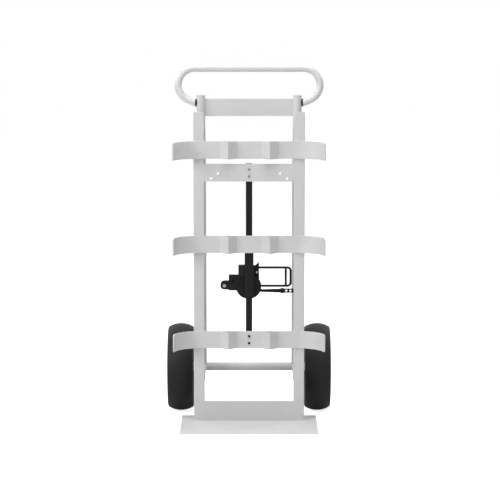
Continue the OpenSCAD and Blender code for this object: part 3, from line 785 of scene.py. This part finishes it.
@dataclass
class AxleLine(Assembly):
    """The struts, the axle tube, the axle and its nuts."""

    tube_r: float = 0.0185
    tube_half: float = 0.2537
    shaft_r: float = 0.010
    shaft_half: float = 0.3593
    bore_half: float = 0.5
    nut_r: float = 0.016
    nut: float = 0.007
    nut_sides: int = 6
    steps: int = 64

    def rod(self, name: str, half: float, radius: float) -> Piece:
        """Adds a round bar on the axle's line, by half of its length."""
        return add_rod(name, (-half, *AXLE), Axis.X, 2 * half, radius, self.steps)

    def bore(self, piece: Piece) -> None:
        """Bores a piece on the axle's line for the axle."""
        drill(piece, (-self.bore_half, *AXLE), Axis.X, 2 * self.bore_half, self.shaft_r)

    def build(self) -> None:
        """Models the pieces on the axle's line."""
        y, z = AXLE
        half = STRUT / 2
        for side in Side:
            x = side.value * POST_X
            strut = add_block(f"{side.word}_strut_tube", (x - half, UPRIGHT_DEPTH, z - half),
                              (x + half, y - half, z + half))
            self.fit(strut, FRAME_PAINT, f"{side.word}_strut", edge=STRUT_EDGE)
        tube = self.rod("axle_sleeve", self.tube_half, self.tube_r)
        self.bore(tube)
        self.fit(tube, FRAME_PAINT, "axle_tube", edge=AXLE_TUBE_EDGE)
        self.fit(self.rod("axle_bar", self.shaft_half, self.shaft_r), ZINC, "axle_shaft", edge=SHAFT_EDGE)
        nuts = []
        for side in Side:
            start = self.shaft_half - self.nut if side is Side.RIGHT else -self.shaft_half
            nut = add_rod(f"nut_{side.word}", (start, y, z), Axis.X, self.nut, self.nut_r, self.nut_sides)
            self.bore(nut)
            nuts.append(nut)
        self.fit(join_pieces(nuts, "axle_nut_pair"), ZINC, "axle_nuts", edge=NUT_EDGE)


@dataclass
class Cradles(Assembly):
    """Three strips that bend forward round the cylinders, each with two divider angles."""

    heights: dict[str, float] = field(default_factory=lambda: dict(STRIP_BASES))
    seat: float = 0.115
    seat_x: float = 0.205
    wrap: float = 84.0
    bow_steps: int = 26
    tip_corner: float = 0.009
    tip_steps: int = 4
    tip_turn: float = 6.0
    tip_reach: float = 0.8
    divider_x: float = 0.089
    ridge: float = 0.036
    ridge_round: float = 0.0018
    ridge_steps: int = 4
    angle_thickness: float = 0.005

    def is_tip_corner(self, edge: bmesh.types.BMEdge) -> bool:
        """Tells whether an edge is a corner of a strip's tip, across its thickness.

        Args:
            edge: Edge of a strip.

        Returns:
            Whether it is.
        """
        reach = self.seat_x + MOSTLY * self.seat * math.sin(math.radians(self.wrap))
        return (abs(middle(edge).x) > reach and climb(edge) < 1.0 - MOSTLY
                and edge.calc_length() > MOSTLY * SHEET
                and all(abs(vert.co.y) > self.seat * self.tip_reach for vert in edge.verts)
                and any(len(face.verts) == 4 and abs(face.normal.y) > MOSTLY for face in edge.link_faces))

    def strip_piece(self, name: str, base: float) -> Piece:
        """Sweeps one strip from wing tip to wing tip.

        Args:
            name: Name of the piece.
            base: Height of its lower edge.

        Returns:
            The strip.
        """
        radius = self.seat + SHEET / 2
        turn = math.radians(self.wrap)
        centre_y = -SHEET - self.seat
        height = base + STRIP / 2
        clear_selection()
        bpy.ops.mesh.primitive_plane_add(
            size=1.0, rotation=(0.0, math.pi / 2, turn),
            location=(-self.seat_x - radius * math.sin(turn), centre_y + radius * math.cos(turn), height))
        piece = take_new(name, (STRIP, SHEET, 1.0))
        with editing(piece, Element.FACE, everything=True):
            bpy.ops.mesh.delete(type="ONLY_FACE")
        left, right = (-self.seat_x, centre_y, height), (self.seat_x, centre_y, height)
        bow = self.wrap - self.tip_turn
        sweep_loop(piece, (Bend(left, Axis.Z, -self.tip_turn, 1), Bend(left, Axis.Z, -bow, self.bow_steps),
                           Run((2 * self.seat_x, 0.0, 0.0)),
                           Bend(right, Axis.Z, -bow, self.bow_steps), Bend(right, Axis.Z, -self.tip_turn, 1)))
        close_ends(piece)
        with editing(piece, Element.EDGE):
            round_picked(piece, self.tip_corner, self.tip_steps, self.is_tip_corner)
        return piece

    def divider_piece(self, name: str, base: float) -> Piece:
        """Folds one pair of divider angles.

        Args:
            name: Name of the piece.
            base: Height of the lower edge.

        Returns:
            Both angles in one object.
        """
        angles = []
        outer = self.ridge * math.sqrt(2)
        for side in Side:
            clear_selection()
            bpy.ops.mesh.primitive_plane_add(size=1.0, location=(side.value * self.divider_x, -SHEET, base),
                                             rotation=(0.0, 0.0, math.pi / 4))
            angle = take_new(f"{name}_{side.word}", (outer, outer, 1.0))
            with editing(angle, Element.VERT, everything=True):
                bpy.ops.mesh.bisect(plane_co=(0.0, -SHEET, base), plane_no=Axis.Y.value, clear_outer=True)
                bpy.ops.mesh.select_all(action="SELECT")
                bpy.ops.mesh.delete(type="ONLY_FACE")
                pick(angle, Element.VERT, lambda vert: vert.co.y < -SHEET - self.ridge * MOSTLY)
                bpy.ops.mesh.bevel(offset=self.ridge_round, segments=self.ridge_steps, affect="VERTICES")
            with editing(angle, Element.EDGE):
                pick(angle, Element.EDGE, lambda edge: all(vert.co.y > -SHEET - NEAR_POINT for vert in edge.verts))
                bpy.ops.mesh.delete(type="EDGE")
                bpy.ops.mesh.select_all(action="SELECT")
                bpy.ops.mesh.extrude_region_move(TRANSFORM_OT_translate={"value": (0.0, 0.0, STRIP)})
            self.face_front(angle)
            thicken(angle, self.angle_thickness)
            angles.append(angle)
        return join_pieces(angles, name)

    @staticmethod
    def face_front(sheet: Piece) -> None:
        """Turns an open sheet's faces to the front.

        Args:
            sheet: Open sheet whose faces agree with each other or not.
        """
        with editing(sheet, Element.FACE, everything=True):
            bpy.ops.mesh.normals_make_consistent(inside=False)
            if pick(sheet, Element.FACE, lambda face: face.normal.y > 0.0) > 0:
                bpy.ops.mesh.select_all(action="SELECT")
                bpy.ops.mesh.flip_normals()

    def build(self) -> None:
        """Models the three cradles and their dividers."""
        for level, base in self.heights.items():
            strip = self.strip_piece(f"{level}_cradle_strip", base)
            self.fit(strip, FRAME_PAINT, f"{level}_cradle", edge=STRIP_EDGE)
            dividers = self.divider_piece(f"{level}_divider_angles", base)
            self.fit(dividers, FRAME_PAINT, f"{level}_dividers", edge=DIVIDER_EDGE)


@dataclass
class RearTubes(Assembly):
    """The posts that bend back behind the frame and run down to the axle."""

    wall: float = 0.0025
    high_corner: Pair = (POST_Y, 1.300)
    low_corner: Pair = (0.185, 1.145)
    bend: float = 0.076
    saddle: float = 0.00925

    def route(self, x: float) -> tuple[Run | Bend, ...]:
        """Works out the stretches and bends from the post's top to the axle tube.

        Args:
            x: Place of the tube across the trolley.

        Returns:
            The moves in order.
        """
        post, knee, foot = Vector(self.high_corner), Vector(self.low_corner), Vector(AXLE)
        lean_mid = math.atan2(knee.x - post.x, post.y - knee.y)
        lean_low = math.atan2(foot.x - knee.x, knee.y - foot.y)
        down = [Vector((math.sin(lean), -math.cos(lean))) for lean in (0.0, lean_mid, lean_low)]
        across = [Vector((math.cos(lean), math.sin(lean))) for lean in (0.0, lean_mid)]
        cut_high = self.bend * math.tan(lean_mid / 2)
        cut_low = self.bend * math.tan((lean_mid - lean_low) / 2)
        start_high = post - cut_high * down[0]
        start_low = knee - cut_low * down[1]
        middle_run = start_low - (post + cut_high * down[1])
        last_run = (foot - self.saddle * down[2]) - (knee + cut_low * down[2])
        return (Run((0.0, 0.0, start_high.y - POST_TOP)),
                Bend((x, *(start_high + self.bend * across[0])), Axis.X, math.degrees(lean_mid)),
                Run((0.0, *middle_run)),
                Bend((x, *(start_low - self.bend * across[1])), Axis.X, -math.degrees(lean_mid - lean_low)),
                Run((0.0, *last_run)))

    def build(self) -> None:
        """Bends both tubes."""
        for side in Side:
            x = side.value * POST_X
            tube = add_ring(f"{side.word}_bent_tube", (x, POST_Y, POST_TOP), Axis.Z, POST_R)
            sweep_loop(tube, self.route(x))
            outward(tube)
            thicken(tube, self.wall)
            self.fit(tube, FRAME_PAINT, f"{side.word}_rear_tube", edge=SHADED)


@dataclass
class HandleLoop(Assembly):
    """The bail of bent tube that swings on the posts."""

    body: str = "handle"
    radius: float = 0.016
    wall: float = 0.0025
    end_x: float = 0.2313
    pivot: float = 1.385
    rise: float = 0.147
    bend: float = 0.070
    turn: float = 157.0
    bend_steps: int = 40
    parallel: float = 1e-4

    def build(self) -> None:
        """Bends the right half from the top bar's middle, cuts its leg upright at the collar and mirrors it."""
        top = self.pivot + self.rise
        angle = math.radians(self.turn)
        leg_z = top - self.bend * (1.0 - math.cos(angle))
        leg_x = self.end_x + (leg_z - self.pivot) / math.tan(math.pi - angle)
        bend_x = leg_x - self.bend * math.sin(angle)
        leg = Vector((math.cos(angle), 0.0, -math.sin(angle))) * 2.0 * (leg_x - self.end_x)
        tube = add_ring("handle_bail", (0.0, POST_Y, top), Axis.X, self.radius)
        sweep_loop(tube, (Run((bend_x, 0.0, 0.0)),
                          Bend((bend_x, POST_Y, top - self.bend), Axis.Y, self.turn, self.bend_steps),
                          Run(tuple(leg))))
        outward(tube)
        with editing(tube, Element.FACE):
            pick(tube, Element.FACE, lambda face: face.calc_center_median().z < leg_z + 2.0 * self.radius
                 and abs(face.normal.dot(leg)) < self.parallel * leg.length
                 and max(edge.calc_length() for edge in face.edges) > MOSTLY * leg.length)
            bpy.ops.mesh.bisect(plane_co=(self.end_x, 0.0, 0.0), plane_no=Axis.X.value, clear_inner=True)
        modify(tube, "MIRROR")
        outward(tube)
        thicken(tube, self.wall)
        self.fit(tube, HANDLE_PAINT, "handle_tube", edge=SHADED)


# Wheels


@dataclass
class Wheel(Assembly):
    """Two rim halves, a hub and a tyre with a crowned tread, round shoulders and a ringed sidewall."""

    side: Side = Side.LEFT
    x: float = 0.303
    radius: float = 0.194
    half_width: float = 0.057
    crown: float = 0.1095
    bead: float = 0.102
    bead_half: float = 0.044
    flank: float = 0.142
    ridge: tuple[Pair, ...] = ((0.1185, 0.0), (0.1193, 0.0011), (0.1237, 0.0011), (0.1245, 0.0))
    tread_share: float = 0.66
    tread_steps: int = 8
    shoulder_round: float = 0.006
    flank_round: float = 0.010
    round_steps: int = 5
    pick_across: float = 0.0004
    pick_radius: float = 0.0015
    steps: int = 120
    sheet: float = 0.004
    flange: float = 0.010
    hub: Point = (0.046, 0.027, 0.021)
    hub_steps: int = 64
    swage: Pair = (0.066, 0.090)
    swage_lift: float = 1.8

    @property
    def centre(self) -> Point:
        """Middle of the wheel."""
        return (self.side.value * self.x, *AXLE)

    def rim(self, name: str, sign: int) -> Piece:
        """Presses one rim half with a raised ring in its web.

        Args:
            name: Name of the piece.
            sign: Side of the wheel's middle plane along X.

        Returns:
            The rim half.
        """
        low, high = self.swage
        edge, sheet, root = self.bead_half, self.sheet, self.hub[1]
        lift, top, seat = self.swage_lift * sheet, self.bead + self.flange, self.bead - sheet
        outline = [(0.0, root), (0.0, self.bead), (edge, self.bead), (edge, top), (edge + sheet, top),
                   (edge + sheet, seat), (sheet, seat), (sheet, high), (lift, high - sheet), (lift, low + sheet),
                   (sheet, low), (sheet, root)]
        return turn_profile(name, self.centre, [(sign * x, r) for x, r in outline])

    def section(self) -> list[Pair]:
        """Lists half of the tyre's section, from the bead to the middle of the tread.

        Returns:
            Distance from the wheel's middle plane and radius of each corner.
        """
        seat = self.bead + self.flange
        slope = (self.half_width - self.bead_half) / (self.flank - seat)
        wall = [(self.bead_half + (r - seat) * slope + lift, r)
                for r, lift in ((seat, 0.0), *self.ridge, (self.flank, 0.0))]
        rise, turn = self.radius - self.crown, math.asin(self.half_width / self.crown)
        angles = (turn, *(self.tread_share * turn * i / self.tread_steps for i in range(self.tread_steps, -1, -1)))
        tread = [(self.crown * math.sin(a), rise + self.crown * math.cos(a)) for a in angles]
        return [(self.bead_half, self.bead), *wall, *tread]

    def tyre(self, name: str) -> Piece:
        """Turns the tyre's section round the axle and rounds its shoulders.

        Args:
            name: Name of the piece.

        Returns:
            The tyre.
        """
        middle_x, y, z = self.centre
        half = self.section()
        tyre = turn_profile(name, self.centre, [*half, *((-x, r) for x, r in half[-2::-1])], self.steps)
        shoulder = self.radius - self.crown + math.sqrt(self.crown ** 2 - self.half_width ** 2)
        with editing(tyre, Element.EDGE):
            for radius, offset in ((shoulder, self.shoulder_round), (self.flank, self.flank_round)):
                round_picked(tyre, offset, self.round_steps, lambda edge: all(
                    abs(vert.co.x - middle_x) > self.half_width - self.pick_across
                    and abs(math.hypot(vert.co.y - y, vert.co.z - z) - radius) < self.pick_radius
                    for vert in edge.verts))
        outward(tyre, NEAR_POINT)
        return tyre

    def build(self) -> None:
        """Models the wheel's turned pieces."""
        word = self.side.word
        for face, sign in (("outer", self.side.value), ("inner", -self.side.value)):
            self.fit(self.rim(f"{word}_{face}_pressing", sign), RIM_PAINT, f"{word}_rim_{face}", edge=RIM_EDGE)
        reach, outer, inner = self.hub
        barrel = [(-reach, inner), (-reach, outer), (reach, outer), (reach, inner)]
        hub = turn_profile(f"{word}_hub_barrel", self.centre, barrel, self.hub_steps)
        self.fit(hub, BLACK_STEEL, f"{word}_hub", edge=HUB_EDGE)
        self.fit(self.tyre(f"{word}_tyre_casing"), RUBBER, f"{word}_tyre", edge=SHADED)


# Tensioner and its bar


@dataclass
class SlideBar(Assembly):
    """The square bar of the tensioner and its screws."""

    half: float = 0.014
    low: float = 0.335
    wall: float = 0.003
    corner: float = 0.0036
    head: float = 0.0052
    head_height: float = 0.004
    head_steps: int = 30
    dome: float = 0.0016
    dome_steps: int = 4
    flat: float = 0.99
    socket: float = 0.0022
    socket_draft: float = 0.0002
    socket_depth: float = 0.0022
    pitch: float = 0.030
    upper_screw: float = 1.073
    lower_screw: float = 0.3495

    def screw_pair(self, name: str, front: float, low: float) -> Piece:
        """Models two button-head screws with round sockets.

        Args:
            name: Name of the piece.
            front: Depth of the face under the heads.
            low: Height of the lower screw.

        Returns:
            Both screws in one object.
        """
        screw = add_rod(f"{name}_low", (0.0, front - self.head_height, low), Axis.Y, self.head_height, self.head,
                        self.head_steps)
        with editing(screw, Element.FACE):
            pick(screw, Element.FACE, lambda face: face.normal.y < -MOSTLY)
            bpy.ops.mesh.bevel(offset=self.dome, segments=self.dome_steps, affect="EDGES")
            pick(screw, Element.FACE, lambda face: face.normal.y < -self.flat)
            bpy.ops.mesh.inset(thickness=self.head - self.dome - self.socket, depth=0.0)
            bpy.ops.mesh.inset(thickness=self.socket_draft, depth=-self.socket_depth)
        soften(screw, SHADED)
        twin = copy_piece(screw, f"{name}_high", (0.0, 0.0, self.pitch))
        return join_pieces((screw, twin), name)

    def build(self) -> None:
        """Models the bar and both pairs of screws."""
        bar = BoxTube((-self.half, SHEET, self.low), (self.half, SHEET + 2 * self.half, UPPER_PLATE[1]),
                      self.wall, self.corner)
        self.fit(bar.make("square_bar"), BLACK_STEEL, "slide_bar")
        self.fit(self.screw_pair("upper_screw_heads", 0.0, self.upper_screw), ZINC, "upper_bar_screws")
        self.fit(self.screw_pair("lower_screw_heads", -SHEET, self.lower_screw), BLACK_STEEL, "lower_bar_screws")


@dataclass
class Carriage(Assembly):
    """The tensioner's sleeve and the block beside it."""

    body: str = "carriage"
    half: float = 0.0193
    front: float = 0.0007
    low: float = 0.547
    high: float = 0.756
    wall: float = 0.005
    corner: float = 0.0056
    block_low: Point = (-0.0463, 0.006, 0.639)
    block_high: Point = (-0.0193, 0.0393, 0.687)

    def build(self) -> None:
        """Models the sleeve and the stop block."""
        sleeve = BoxTube((-self.half, self.front, self.low), (self.half, self.front + 2 * self.half, self.high),
                         self.wall, self.corner)
        self.fit(sleeve.make("sliding_sleeve"), BLACK_STEEL, "carriage_sleeve")
        block = add_block("stop_block_body", self.block_low, self.block_high)
        self.fit(block, BLACK_STEEL, "stop_block", edge=BLOCK_EDGE)


@dataclass
class Tensioner(Assembly):
    """The cheek plates with their rounded edges, the lever of round bar and the clamp knob."""

    body: str = "carriage"
    centre: Pair = (-0.002, 0.591)
    sheet: float = 0.005
    front: float = 0.0393
    rear: float = 0.0805
    body_low: Pair = (-0.088, 0.573)
    body_high: Pair = (0.017, 0.637)
    ear: Point = (-0.107, 0.594, 0.017)
    guard: float = 0.055
    guard_steps: int = 128
    disc_steps: int = 64
    shaft: float = 0.00905
    lug: float = 0.019
    hook: Point = (0.056, 0.566, 0.006)
    hook_tip: float = 0.0005
    flat_degrees: float = 0.5
    cheek_merge: float = 0.0004
    wire: float = 0.005
    wire_steps: int = 28
    lever_y: float = 0.0579
    arms: Pair = (0.591, 0.671)
    lever_x: Point = (0.028, 0.185, 0.159)
    corner: float = 0.014
    corner_steps: int = 14
    knob: Point = (0.0433, 0.734, 0.020)
    knob_length: float = 0.018
    knob_steps: int = 96
    notches: int = 6
    notch_circle: float = 0.0225
    notch: float = 0.005
    notch_lead: float = 0.005
    notch_length: float = 0.04
    notch_steps: int = 32
    stem: float = 0.004
    stem_lead: float = 0.009
    stem_length: float = 0.010
    stem_steps: int = 24

    def cheek(self, name: str, y: float) -> Piece:
        """Models what both cheek plates share.

        Args:
            name: Name of the piece.
            y: Depth of the plate's front face.

        Returns:
            The plate, without its bore.
        """
        ear_x, ear_z, ear_r = self.ear
        back = y + self.sheet
        (low_x, low_z), (high_x, high_z) = self.body_low, self.body_high
        plate = add_block(name, (low_x, y, low_z), (high_x, back, high_z))
        merge_in(plate, add_rod("ear", (ear_x, y, ear_z), Axis.Y, self.sheet, ear_r, self.disc_steps))
        merge_in(plate, add_block("neck", (ear_x, y, ear_z - ear_r), (low_x + LAP, back, ear_z + ear_r)))
        return plate

    def finish_cheek(self, plate: Piece, y: float, node: str) -> None:
        """Bores a cheek plate for the ratchet's shaft and rounds its edges.

        Args:
            plate: The plate.
            y: Depth of its front face.
            node: CAD node that it stands for.
        """
        with editing(plate, Element.VERT, everything=True):
            bpy.ops.mesh.dissolve_limited(angle_limit=math.radians(self.flat_degrees))
        outward(plate, self.cheek_merge)
        drill(plate, (self.centre[0], y - DRILL_LEAD, self.centre[1]), Axis.Y, DRILL_LENGTH, self.shaft)
        self.fit(plate, BLACK_STEEL, node, edge=CHEEK_EDGE)

    def rear_lug(self) -> Piece:
        """Models the lug that runs from the rear cheek's middle to the hook arm.

        Returns:
            The lug.
        """
        (x, z), (hook_x, hook_z, hook_r) = self.centre, self.hook
        boss = add_rod("boss", (x, self.rear, z), Axis.Y, self.sheet, self.lug, self.disc_steps)
        tip = add_block("tip", (hook_x - self.hook_tip, self.rear, hook_z - hook_r),
                        (hook_x, self.rear + self.sheet, hook_z + hook_r))
        lug = join_pieces((boss, tip), "lug")
        with editing(lug, Element.VERT, everything=True):
            bpy.ops.mesh.convex_hull()
        return lug

    def lever(self) -> Piece:
        """Bends the lever's loop and puts its cross bar in.

        Returns:
            The loop.
        """
        root, end, grip = self.lever_x
        low, high = self.arms
        y, corner_x = self.lever_y, end - self.wire - self.corner
        loop = add_ring("lever_round_bar", (root, y, low), Axis.X, self.wire, self.wire_steps)
        sweep_loop(loop, (Run((corner_x - root, 0.0, 0.0)),
                          Bend((corner_x, y, low + self.corner), Axis.Y, -90.0, self.corner_steps),
                          Run((0.0, 0.0, high - low - 2 * self.corner)),
                          Bend((corner_x, y, high - self.corner), Axis.Y, -90.0, self.corner_steps),
                          Run((root - corner_x, 0.0, 0.0))))
        close_ends(loop)
        merge_in(loop, add_rod("cross", (grip, y, low), Axis.Z, high - low, self.wire, self.wire_steps))
        return loop

    def knob_piece(self) -> Piece:
        """Models the lobed knob and its stem.

        Returns:
            The knob.
        """
        y, z, radius = self.knob
        knob = add_rod("lobed_knob", (0.0, y, z), Axis.Y, self.knob_length, radius, self.knob_steps)
        for i in range(self.notches):
            turn = math.tau / self.notches * i
            place = (self.notch_circle * math.cos(turn), y - self.notch_lead, z + self.notch_circle * math.sin(turn))
            merge_in(knob, add_rod("notch", place, Axis.Y, self.notch_length, self.notch, self.notch_steps), cut=True)
        soften(knob, KNOB_EDGE)
        merge_in(knob, add_rod("stem", (0.0, y - self.stem_lead, z), Axis.Y, self.stem_length, self.stem,
                               self.stem_steps))
        return knob

    def build(self) -> None:
        """Models the plates, the lever and the knob."""
        x, z = self.centre
        front = self.cheek("front_cheek_plate", self.front)
        merge_in(front, add_rod("guard", (x, self.front, z), Axis.Y, self.sheet, self.guard, self.guard_steps))
        self.finish_cheek(front, self.front, "front_cheek")
        rear = self.cheek("rear_cheek_plate", self.rear)
        merge_in(rear, self.rear_lug())
        self.finish_cheek(rear, self.rear, "rear_cheek")
        self.fit(self.lever(), BLACK_STEEL, "lever_loop", edge=SHADED, body="lever")
        self.fit(self.knob_piece(), KNOB_PLASTIC, "clamp_knob", body="clamp_knob")


# Welds


@dataclass
class Welds(Assembly):
    """Fillet welds under the paint, as rows of small overlapping drops."""

    width: float = 0.0042
    pitch_share: float = 0.55
    drop_segments: int = 12
    drop_rings: int = 6
    strip_lead: float = 0.0004
    margin: float = 0.002
    flush: Point = (0.0006, 0.0040, 0.0001)
    flush_round: float = 0.8
    flush_steps: int = 2

    def lines(self) -> list[tuple[Vector, Vector]]:
        """Lists the welded seams.

        Returns:
            Start and end of each seam.
        """
        seams: list[tuple[Point, Point]] = []
        foot, depth, half = LOWER_PLATE[0], UPRIGHT_DEPTH, STRUT / 2
        for side in Side:
            near, far = side.value * INNER_X, side.value * OUTER_X
            seams += [((near, y, foot), (far, y, foot)) for y in (0.0, depth)]
            seams += [((x, 0.0, foot), (x, depth, foot)) for x in (near, far)]
            seams += [((near, -self.strip_lead, z), (far, -self.strip_lead, z))
                      for base in STRIP_BASES.values() for z in (base, base + STRIP)]
            seams += [((near, SHEET, low + self.margin), (near, SHEET, high - self.margin))
                      for low, high in (LOWER_PLATE, UPPER_PLATE)]
            seams += [((x, depth, AXLE[1] - half), (x, depth, AXLE[1] + half))
                      for x in (side.value * (POST_X - half), side.value * (POST_X + half))]
        return [(Vector(start), Vector(end)) for start, end in seams]

    def seam(self, name: str, start: Vector, end: Vector) -> Piece:
        """Lays one row of drops along a seam.

        Args:
            name: Name of the row.
            start: One end.
            end: Other end.

        Returns:
            The row.
        """
        along, length = (end - start).normalized(), (end - start).length - self.width
        count = max(2, int(length / (self.width * self.pitch_share)) + 1)
        clear_selection()
        bpy.ops.mesh.primitive_uv_sphere_add(segments=self.drop_segments, ring_count=self.drop_rings,
                                             radius=self.width / 2, location=start + along * self.width / 2)
        drop = take_new(name)
        modify(drop, "ARRAY", count=count, use_relative_offset=False, use_constant_offset=True,
               constant_offset_displace=along * (length / (count - 1)))
        return drop

    def ground_seams(self) -> list[Piece]:
        """Fills the front seams of the cross plates, ground flush before painting.

        Returns:
            One fill per seam.
        """
        lap, reach, proud = self.flush
        fills = []
        for side in Side:
            left, right = sorted((side.value * (INNER_X - lap), side.value * (INNER_X + reach)))
            for low, high in (LOWER_PLATE, UPPER_PLATE):
                fill = add_block(f"ground_weld_{len(fills)}", (left, -proud, low), (right, SHEET / 2, high))
                with editing(fill, Element.EDGE):
                    round_picked(fill, self.flush_round * proud, self.flush_steps,
                                 lambda edge: climb(edge) > MOSTLY and middle(edge).y < 0.0)
                fills.append(fill)
        return fills

    def build(self) -> None:
        """Lays every seam and joins them."""
        rows = [self.seam(f"weld_{i}", start, end) for i, (start, end) in enumerate(self.lines())]
        self.fit(join_pieces(rows + self.ground_seams(), "weld_beads"), FRAME_PAINT, edge=SHADED)


# Studio


@dataclass(frozen=True)
class Lamp:
    """A soft square lamp that faces a point."""

    name: str
    place: Point
    target: Point
    size: float
    watts: float

    def hang(self) -> None:
        """Adds the lamp to the scene."""
        data = bpy.data.lights.new(self.name, "AREA")
        data.size = self.size
        data.energy = self.watts
        lamp = bpy.data.objects.new(self.name, data)
        lamp.location = self.place
        lamp.rotation_euler = (Vector(self.target) - Vector(self.place)).to_track_quat("-Z", "Y").to_euler()
        bpy.context.scene.collection.objects.link(lamp)


LAMPS: tuple[Lamp, ...] = (
    Lamp("key_lamp", (-4.8, -3.2, 3.2), (0.0, 0.0, 0.8), 2.2, 147.0),
    Lamp("front_lamp", (0.6, -5.6, 2.0), (0.0, 0.0, 0.7), 2.6, 6.0),
    Lamp("top_lamp", (0.0, -0.9, 4.6), (0.0, -0.1, 0.4), 4.0, 200.0),
    *(Lamp(f"{side.word}_rear_lamp", (side.value * 4.0, 3.4, 2.4), (0.0, 0.1, 0.9), 2.4, 62.0) for side in Side),
)


@dataclass
class Studio:
    """White floor, soft light and the photograph's camera."""

    focal_px: float = 2080.0
    sensor: float = 36.0
    far: float = 200.0
    camera_place: Point = (0.0041, -8.871, 1.891)
    pitch: float = 7.3
    ambient: float = 0.225
    white: tuple[float, ...] = (1.0, 1.0, 1.0, 1.0)
    floor_grey: tuple[float, ...] = (0.86, 0.86, 0.86, 1.0)
    floor_lift: float = 0.80
    floor_reach: float = 40.0

    def camera(self) -> None:
        """Places the camera."""
        data = bpy.data.cameras.new("photo_camera")
        data.sensor_width = self.sensor
        data.lens = self.focal_px / PHOTO_PX * self.sensor
        data.clip_end = self.far
        camera = bpy.data.objects.new("photo_camera", data)
        camera.location = self.camera_place
        camera.rotation_euler = (math.radians(90.0 - self.pitch), 0.0, 0.0)
        bpy.context.scene.collection.objects.link(camera)
        bpy.context.scene.camera = camera

    def sky(self) -> None:
        """Makes a plain white surrounding that shows white and lights softly."""
        world = bpy.data.worlds.new("white_room")
        bpy.context.scene.world = world
        world.use_nodes = True
        sheet = NodeSheet(world.node_tree)
        sheet.tree.nodes.clear()
        ray = sheet.add("LightPath", {}).outputs
        seen = sheet.add("Math", {0: ray["Is Camera Ray"], 1: ray["Is Transmission Ray"]}, "MAXIMUM")
        either = sheet.add("Math", {0: seen.outputs[0], 1: ray["Is Glossy Ray"]}, "MAXIMUM")
        shown = sheet.add("Background", {"Strength": 1.0, "Color": self.white})
        lit = sheet.add("Background", {"Strength": self.ambient, "Color": self.white})
        mix = sheet.add("MixShader", {"Fac": either.outputs[0], 1: lit.outputs[0], 2: shown.outputs[0]})
        sheet.add("OutputWorld", {"Surface": mix.outputs[0]})

    def floor(self) -> None:
        """Lays a white floor that keeps the shadow."""
        clear_selection()
        bpy.ops.mesh.primitive_plane_add(size=self.floor_reach)
        floor = take_new("studio_floor")
        material = bpy.data.materials.new("studio_floor")
        material.use_nodes = True
        sheet = NodeSheet(material.node_tree)
        sheet.tree.nodes.clear()
        ray = sheet.add("LightPath", {}).outputs
        matt = sheet.add("BsdfDiffuse", {"Color": self.floor_grey})
        lift = sheet.add("Math", {0: ray["Is Camera Ray"], 1: self.floor_lift}, "MULTIPLY")
        glow = sheet.add("Emission", {"Strength": lift.outputs[0]})
        both = sheet.add("AddShader", {0: matt.outputs[0], 1: glow.outputs[0]})
        sheet.add("OutputMaterial", {"Surface": both.outputs[0]})
        floor.data.materials.append(material)

    def build(self) -> None:
        """Sets up the view, the light and the floor."""
        bpy.context.scene.view_settings.view_transform = "Standard"
        self.camera()
        self.sky()
        self.floor()
        for lamp in LAMPS:
            lamp.hang()


def main() -> None:
    """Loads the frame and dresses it."""
    logging.basicConfig(level=logging.INFO, format="%(name)s %(message)s")
    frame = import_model()
    studio = Studio()
    studio.build()
    shop = PaintShop()
    shop.coat_nodes(frame)
    assemblies: list[Assembly] = [
        ToePlate(shop), Uprights(shop), UpperPlates(shop), AxleLine(shop), Cradles(shop), RearTubes(shop),
        HandleLoop(shop), *(Wheel(shop, f"{side.word}_wheel", side) for side in Side),
        SlideBar(shop), Carriage(shop), Tensioner(shop), Welds(shop),
    ]
    for assembly in assemblies:
        assembly.build()
    clear_selection()


if __name__ == "__main__":
    main()
